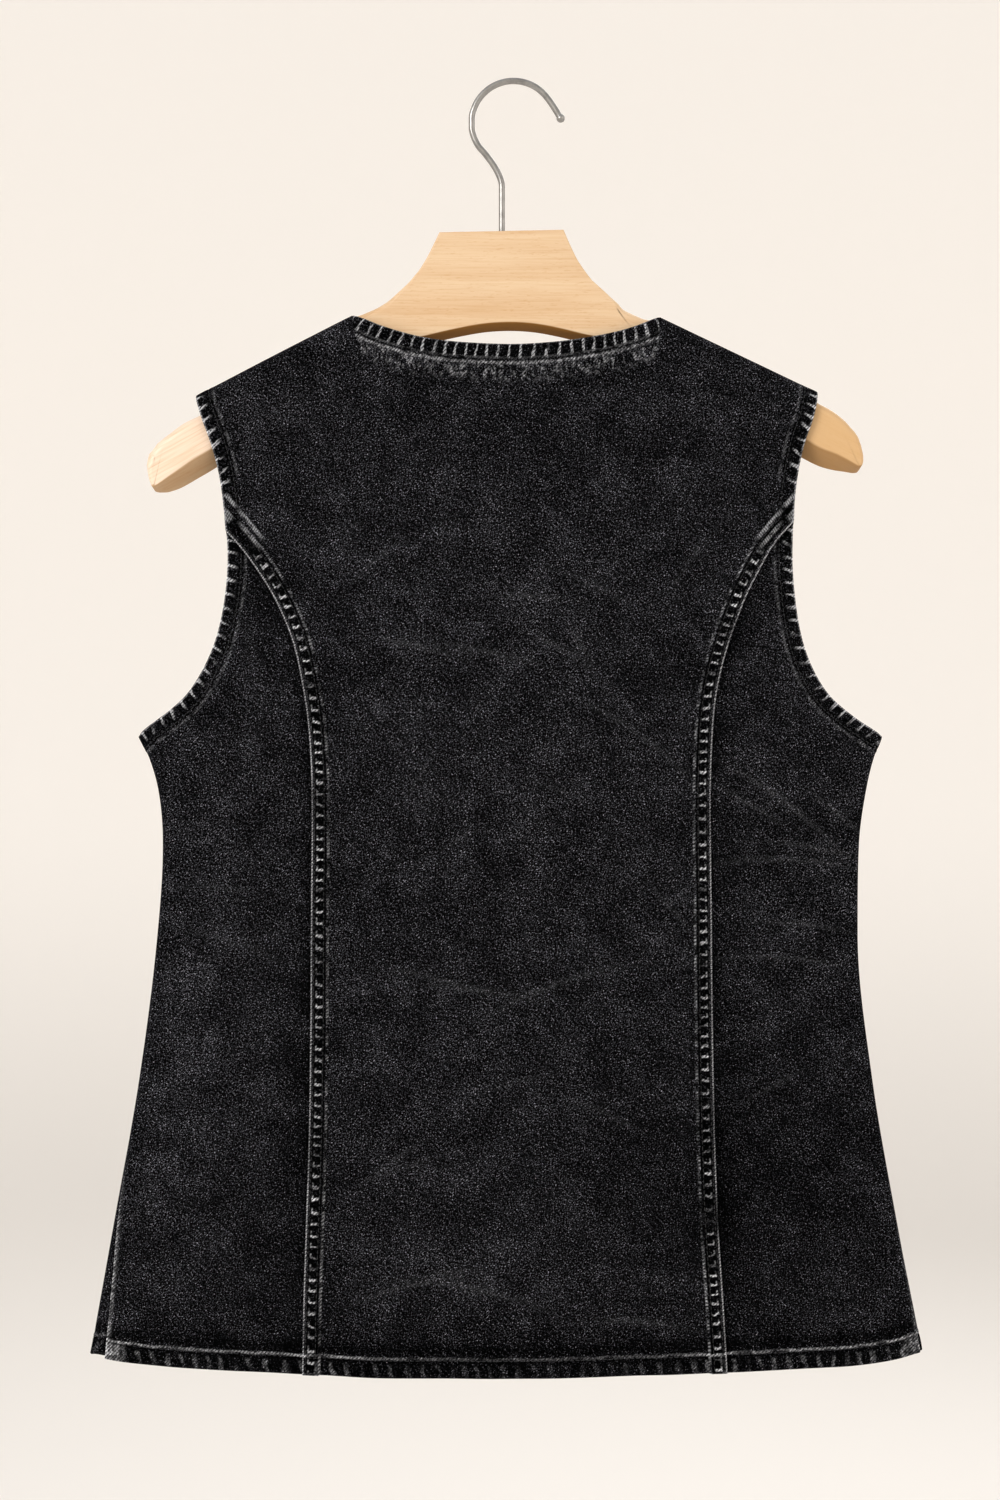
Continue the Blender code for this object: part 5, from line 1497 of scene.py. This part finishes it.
def gunmetal():
    """Dark plated metal, rubbed lighter in specks."""
    f = Finish("dark_metal")
    place = f.place()
    specks = f.noise(place, 900.0, 3.0, 0.6)
    return f.surface({
        "Base Color": f.blend(specks.step(0.45, 0.70), (0.10, 0.10, 0.105), (0.30, 0.29, 0.28)),
        "Metallic": 1.0,
        "Roughness": specks * 0.25 + 0.26,
        "Normal": f.bump(specks, 0.00005, 0.5),
    })


# The pieces' operators.

class BackPanels(Operator):
    """The centre back and the two side backs"""
    bl_idname = "vest.back_panels"
    bl_label = "Back panels"

    def execute(self, context):
        settings = context.scene.vest_cloth
        material = denim(settings)
        cloth_piece("vest_centre_back", centre_back(settings.crease), material, "centre_back")
        for side, name, area in ((LEFT, "side_back_left", 0.0546), (RIGHT, "side_back_right", 0.0529)):
            cloth_piece("vest_" + name, side_back(side, settings.crease), material, name)
        return {'FINISHED'}


class FrontPanels(Operator):
    """The two fronts, which the back hides"""
    bl_idname = "vest.front_panels"
    bl_label = "Front panels"

    def execute(self, context):
        settings = context.scene.vest_cloth
        material = bpy.data.materials["black_denim"]
        for side, name, area in ((LEFT, "front_left", 0.1375), (RIGHT, "front_right", 0.1353)):
            cloth_piece("vest_" + name, front(side, settings.crease), material, name)
        return {'FINISHED'}


def cloth_piece(name, cloth, material, node):
    """A panel of cloth in the scene: it replaces its solid."""
    item = carry(cloth_object(name, cloth, material), "denim", node)
    return item


class Stitching(Operator):
    """The topstitching of laps, bands and hem, and the buttonholes"""
    bl_idname = "vest.stitching"
    bl_label = "Stitching"

    def execute(self, context):
        crease = context.scene.vest_cloth.crease
        settings = context.scene.vest_thread
        material = thread(settings)
        back = []
        cloth = centre_back(crease)
        for edge in ("left", "right"):
            for place in LAP_STITCHES:
                back.append((cloth, edge, place, JUNCTION_ROW, 1.0))
            back.append((cloth, edge, BAND_STITCH, 0.012, JUNCTION_ROW - 0.004))
        back.append((cloth, "top", BAND_STITCH, NECK_COLUMNS[0] + 0.012, NECK_COLUMNS[1] - 0.012))
        back.append((cloth, "bottom", HEM_STITCH, 0.0, 1.0))
        for side, top, hem in ((LEFT, (0.0, 0.985), (0.0, 0.90)), (RIGHT, (0.015, 1.0), (0.10, 1.0))):
            cloth = side_back(side, crease)
            back.append((cloth, "top", BAND_STITCH, *top))
            back.append((cloth, "bottom", HEM_STITCH, *hem))
        fronts = []
        for side in (LEFT, RIGHT):
            cloth = front(side, crease)
            inner, outer = mirrored(side, ("left", "right"))
            fronts.append((cloth, inner, BAND_STITCH, 0.020, 1.0))
            fronts.append((cloth, outer, BAND_STITCH, 0.020, ARM_ROW - 0.006))
            fronts.append((cloth, "bottom", HEM_STITCH, 0.0, 1.0))
        for name, rows, threads in (("vest_stitching_back", back, []),
                                    ("vest_stitching_front", fronts, buttonholes(settings.radius))):
            for cloth, edge, place, start, end in rows:
                points, normals, shares = cloth.line(edge, place)
                kept = (shares >= start) & (shares <= end)
                threads.append(stitches(points[kept], normals[kept], settings.pitch, settings.radius))
            points = np.concatenate(threads)
            count = len(points) // (len(STITCH_SWELL) * STITCH_SIDES)
            faces = tubes(count, len(STITCH_SWELL), STITCH_SIDES)
            carry(mesh_object(name, points, faces, material), "denim")
        return {'FINISHED'}


def buttonholes(radius):
    """Each buttonhole's bars of thread, side by side along both edges of the slit and across its ends."""
    slots = np.linspace(*BUTTONHOLE, BUTTONHOLE_BARS)
    bars = [(x, edge * 0.0003, edge * 0.0022) for edge in SIGNS for x in slots]
    bars += [(x, -0.0022, 0.0022) for x in (BUTTONHOLE[0] - 0.0004, BUTTONHOLE[1] + 0.0004)]
    threads = []
    for height in BUTTON_HEIGHTS:
        for x, low, high in bars:
            across = np.full(3, x)
            up = height + np.linspace(low, high, 3)
            out = normal(across, up, FRONT)
            points = form(across, up, FRONT) + out * (LAP_RISE + 0.00002)
            threads.append(stitches(points, out, lengths(points)[-1] / 1.001, radius * 0.85))
    return threads


class Buttons(Operator):
    """The five shank buttons down the front"""
    bl_idname = "vest.buttons"
    bl_label = "Buttons"

    def execute(self, context):
        """Each button is one profile of radius and height turned about the closure's own normal."""
        profile = dense(BUTTON_PROFILE, steps=3)
        angle = np.arange(BUTTON_SIDES) * tau / BUTTON_SIDES
        beside = np.array([1.0, 0.0, 0.0])
        points = []
        for height in BUTTON_HEIGHTS:
            out = normal(np.array(0.0), np.array(height), FRONT)
            base = form(np.array(0.0), np.array(height), FRONT) + out * LAP_RISE
            ring = np.cos(angle)[:, None] * beside + np.sin(angle)[:, None] * np.cross(out, beside)
            points.append(base + ring[None] * profile[:, 0, None, None] + out * profile[:, 1, None, None])
        faces = tubes(len(points), len(profile), BUTTON_SIDES)
        item = mesh_object("vest_buttons", np.concatenate(points).reshape(-1, 3), faces, gunmetal())
        carry(item, "button_metal", *("button_%d" % (number + 1) for number in range(len(points))))
        return {'FINISHED'}


class Hanger(Operator):
    """The wooden hanger"""
    bl_idname = "vest.hanger"
    bl_label = "Hanger"

    def execute(self, context):
        """The hanger's outline, carried through its thickness and moved in on a circle towards each face, by
        the radius times one less the turn's cosine."""
        item = hanger_mesh(beech(context.scene.vest_hanger))
        carry(item, "wood", "hanger_body")
        return {'FINISHED'}


def hanger_outline():
    """The upper and the lower outline, each from left to right: across, height, how round, how lifted."""
    seats = [[(sign * place, float(top_line(sign * place)) - WALL - REST, 1.0, 0.0) for place in SEAT]
             for sign in SIGNS]
    left = dense(list(ARM_END_LEFT) + seats[0][::-1] + [(*row, 0.0) for row in CROWN_LEFT[::-1]], steps=10)
    right = dense([(*row, 0.0) for row in CROWN_RIGHT] + seats[1] + list(ARM_END_RIGHT), steps=10)
    ends = [left[-1], right[0]]
    crown = np.linspace(ends[0], ends[1], 34)[1:-1]
    upper = np.concatenate([left, crown, right])
    under = dense([ARM_END_LEFT[0], *ARM_UNDER_LEFT[::-1], *ARCH[::-1], *ARM_UNDER_RIGHT[::-1],
                   ARM_END_RIGHT[-1]], steps=12)
    reach = lengths(under[:, :2])
    at = np.interp(lengths(upper[:, :2]) / lengths(upper[:, :2])[-1], [0.0, 1.0], [0.0, reach[-1]])
    lower = np.stack([np.interp(at, reach, under[:, axis]) for axis in range(4)], axis=1)
    return upper, lower


def inset(outline, distance):
    """The closed outline moved in by the distance, each corner along the line that halves it."""
    ahead = np.roll(outline, -1, axis=0) - outline
    ahead /= np.maximum(np.linalg.norm(ahead, axis=1, keepdims=True), 1e-9)
    behind = np.roll(ahead, 1, axis=0)
    inward = np.stack([ahead[:, 1] + behind[:, 1], -ahead[:, 0] - behind[:, 0]], axis=1)
    inward /= np.linalg.norm(inward, axis=1, keepdims=True)
    wide = inward[:, 0] * ahead[:, 1] - inward[:, 1] * ahead[:, 0]
    return outline + inward * (distance / np.maximum(wide, 0.6))[:, None]


def hanger_mesh(material):
    """The outline carried through the thickness on a quarter round at each face, joined by flat faces.  The
    material reads how far each point faces down, where it paints shade on the wood: most under the arch.  It
    also reads how near the left end, where it paints a highlight, and the right one, which it makes a darker
    orange."""
    upper, lower = hanger_outline()
    count = len(upper)
    outline = np.concatenate([upper, lower[-2:0:-1]])
    total = len(outline)
    turns = np.radians(np.concatenate([np.linspace(-90.0, 0.0, 9), np.linspace(0.001, 90.0, 9)]))
    size = SHARP + (ROUND - SHARP) * outline[:, 2]
    rings = []
    for turn in turns:
        ring = inset(outline[:, :2], size * (1.0 - cos(turn)))
        out = np.sign(turn) * (ARM_THICK / 2 - size) + size * sin(turn)
        lift = outline[:, 3] * (0.5 - out / ARM_THICK)
        rings.append(np.stack([ring[:, 0], out, ring[:, 1] + lift], axis=1))
    partner = np.concatenate([[0], np.arange(total - 1, count - 1, -1), [count - 1]])
    near = np.arange(count)
    flat = np.stack([near[1:-2], near[2:-1], partner[2:-1], partner[1:-2]], axis=1)
    tips = np.array([[0, 1, partner[1]], [count - 2, count - 1, partner[-2]]])
    far = (len(rings) - 1) * total
    quads = np.concatenate([ring_quads(len(rings), total), flat, flat[:, ::-1] + far])
    triangles = np.concatenate([tips, tips[:, ::-1] + far])
    points = np.concatenate(rings)
    faces = [quads[:, ::-1], triangles[:, ::-1]]
    item = mesh_object("hanger_wood", points, faces, material)
    faced = np.empty(len(item.data.polygons) * 3)
    item.data.polygons.foreach_get("normal", faced)
    item.data.polygons.foreach_set("use_smooth", np.abs(faced[1::3]) < 0.9999)
    facing = np.empty(len(points) * 3)
    item.data.vertices.foreach_get("normal", facing)
    across = points[:, 0]
    # How much painted shade each downward face gets: most under the arch, and more on the right arm than on
    # the left.
    share = np.maximum(np.where(across < 0.0, 0.42, 0.60), ramp(np.abs(across), 0.110, 0.080))
    under = ramp(-facing[2::3], 0.25, 0.65) * share
    # The second channel marks the left end for the painted highlight, the third the right end, which is made
    # darker.
    wood = [under, ramp(across, -0.150, -0.185), ramp(across, 0.150, 0.185)]
    add_attribute(item.data, "wood", np.stack(wood, axis=1))
    return item


class Hook(Operator):
    """The steel hook"""
    bl_idname = "vest.hook"
    bl_label = "Hook"

    def execute(self, context):
        """A circle carried along the hook's line, from the ball round the loop and down the stem; the ball is
        the circle's radius following a half round."""
        turn = np.radians(np.linspace(LOOP_FROM, LOOP_TO, 15))
        loop = np.array(LOOP_CENTRE) + LOOP_RADIUS * np.stack([np.cos(turn), np.sin(turn)], axis=1)
        stem = [(STEM, STEM_TOP), (STEM, -0.0780), (STEM, -0.0920), (STEM, STEM_FOOT)]
        path = dense([HOOK_END, *loop, STEM_BEND, *stem])
        length = lengths(path)
        ball = BALL * (1.0 - np.cos(np.linspace(0.06, 0.80, 14) * pi))
        at = np.concatenate([ball, np.linspace(ball[-1], length[-1], 260)[1:]])
        across = smooth(length, path[:, 0], at)
        height = smooth(length, path[:, 1], at)
        round_end = np.sqrt(np.maximum(1.0 - ((at - BALL) / BALL) ** 2, 0.0)) * BALL
        radius = np.maximum(round_end, WIRE * (at > BALL))
        ahead = np.stack([np.gradient(across), np.gradient(height)], axis=1)
        ahead /= np.linalg.norm(ahead, axis=1, keepdims=True)
        angle = np.arange(WIRE_SIDES) * tau / WIRE_SIDES
        beside = np.stack([-ahead[:, 1], np.zeros(len(at)), ahead[:, 0]], axis=1)
        ring = (beside[:, None, :] * np.cos(angle)[None, :, None]
                + np.array([0.0, 1.0, 0.0])[None, None, :] * np.sin(angle)[None, :, None])
        line = np.stack([across, np.zeros(len(at)), height], axis=1)
        points = line[:, None, :] + ring * radius[:, None, None]
        item = mesh_object("hanger_wire", points.reshape(-1, 3), tubes(1, len(at), WIRE_SIDES),
                           steel(context.scene.vest_hanger))
        carry(item, "hook_steel", "hanger_hook")
        return {'FINISHED'}


def backdrop(settings):
    """A flat floor that curves up into a wall: one profile turned about the upright axis."""
    f = Finish("backdrop")
    height = f.node('ShaderNodeSeparateXYZ', None, {0: f.place()}, 2)
    up_wall = height.step(settings.floor - 0.8, settings.floor + 1.1)
    pale = tuple(settings.backdrop)
    material = f.surface({
        "Base Color": f.blend(up_wall, scaled(pale, 0.80), pale),
        "Emission Color": f.blend(up_wall, (0.0, 0.0, 0.0), tuple(part ** 2 for part in pale)),
        "Emission Strength": settings.glow,
        "Roughness": 0.9,
        "Specular IOR Level": 0.1,
    })
    bend = np.linspace(0.0, pi / 2, 20)
    wall = BEND_FROM + BEND_RADIUS
    radius = np.concatenate([FLOOR_RADII, BEND_FROM + BEND_RADIUS * np.sin(bend), [wall]])
    rise = np.concatenate([np.zeros(len(FLOOR_RADII)), BEND_RADIUS * (1.0 - np.cos(bend)), [WALL_TOP]])
    angle = np.arange(BACKDROP_SIDES) * tau / BACKDROP_SIDES
    points = np.stack([radius[:, None] * np.cos(angle), radius[:, None] * np.sin(angle),
                       (rise + settings.floor)[:, None] + 0.0 * angle], axis=-1)
    faces = [ring_quads(len(radius), BACKDROP_SIDES), np.arange(BACKDROP_SIDES)[None, :]]
    return mesh_object("backdrop", points.reshape(-1, 3), faces, material)


def light_up(scene, settings):
    """The lamps, each aimed at the vest, and the even light of the sky."""
    for name, place, size, share in LAMPS:
        lamp = bpy.data.lights.new(name, 'AREA')
        lamp.size = size
        lamp.energy = share * settings.key
        item = bpy.data.objects.new(name, lamp)
        item.location = place
        item.rotation_euler = (Vector(AIM) - item.location).to_track_quat('-Z', 'Y').to_euler()
        scene.collection.objects.link(item)
    world = bpy.data.worlds.new("studio")
    world.use_nodes = True
    sky = next(node for node in world.node_tree.nodes if node.type == 'BACKGROUND')
    sky.inputs["Color"].default_value = SKY_COLOUR
    sky.inputs["Strength"].default_value = settings.sky
    scene.world = world


def place_camera(scene):
    """The camera, level and looking straight at the vest's back."""
    data = bpy.data.cameras.new("camera")
    data.sensor_width = SENSOR
    data.lens = SENSOR * -CAMERA_PLACE[1] / FRAME_HEIGHT
    camera = bpy.data.objects.new("camera", data)
    camera.location = CAMERA_PLACE
    camera.rotation_euler = (pi / 2, 0.0, 0.0)
    scene.collection.objects.link(camera)
    scene.camera = camera


class Stage(Operator):
    """The floor, the backdrop, the lights and the camera"""
    bl_idname = "vest.stage"
    bl_label = "Stage"

    def execute(self, context):
        settings = context.scene.vest_stage
        backdrop(settings)
        light_up(context.scene, settings)
        place_camera(context.scene)
        context.scene.view_settings.view_transform = 'Standard'
        return {'FINISHED'}


PIECES = (BackPanels, FrontPanels, Stitching, Buttons, Hanger, Hook, Stage)
SETTINGS = (("vest_cloth", ClothSettings), ("vest_thread", ThreadSettings), ("vest_hanger", HangerSettings),
            ("vest_stage", StageSettings))


class VestPanel(Panel):
    """The vest's pieces, in the order in which they are built"""
    bl_idname = "VIEW3D_PT_vest"
    bl_label = "Denim vest"
    bl_space_type = 'VIEW_3D'
    bl_region_type = 'UI'
    bl_category = "Vest"

    def draw(self, context):
        for piece in PIECES:
            self.layout.operator(piece.bl_idname)
        for name, group in SETTINGS:
            box = self.layout.box()
            for key in group.__annotations__:
                box.prop(getattr(context.scene, name), key)


def register():
    for name, group in SETTINGS:
        bpy.utils.register_class(group)
        setattr(bpy.types.Scene, name, PointerProperty(type=group))
    for piece in (*PIECES, VestPanel):
        bpy.utils.register_class(piece)


def unregister():
    for piece in (VestPanel, *reversed(PIECES)):
        bpy.utils.unregister_class(piece)
    for name, group in reversed(SETTINGS):
        delattr(bpy.types.Scene, name)
        bpy.utils.unregister_class(group)


def main():
    """Builds every piece in order."""
    register()
    for piece in PIECES:
        group, name = piece.bl_idname.split(".")
        getattr(getattr(bpy.ops, group), name)()


if __name__ == "__main__":
    main()
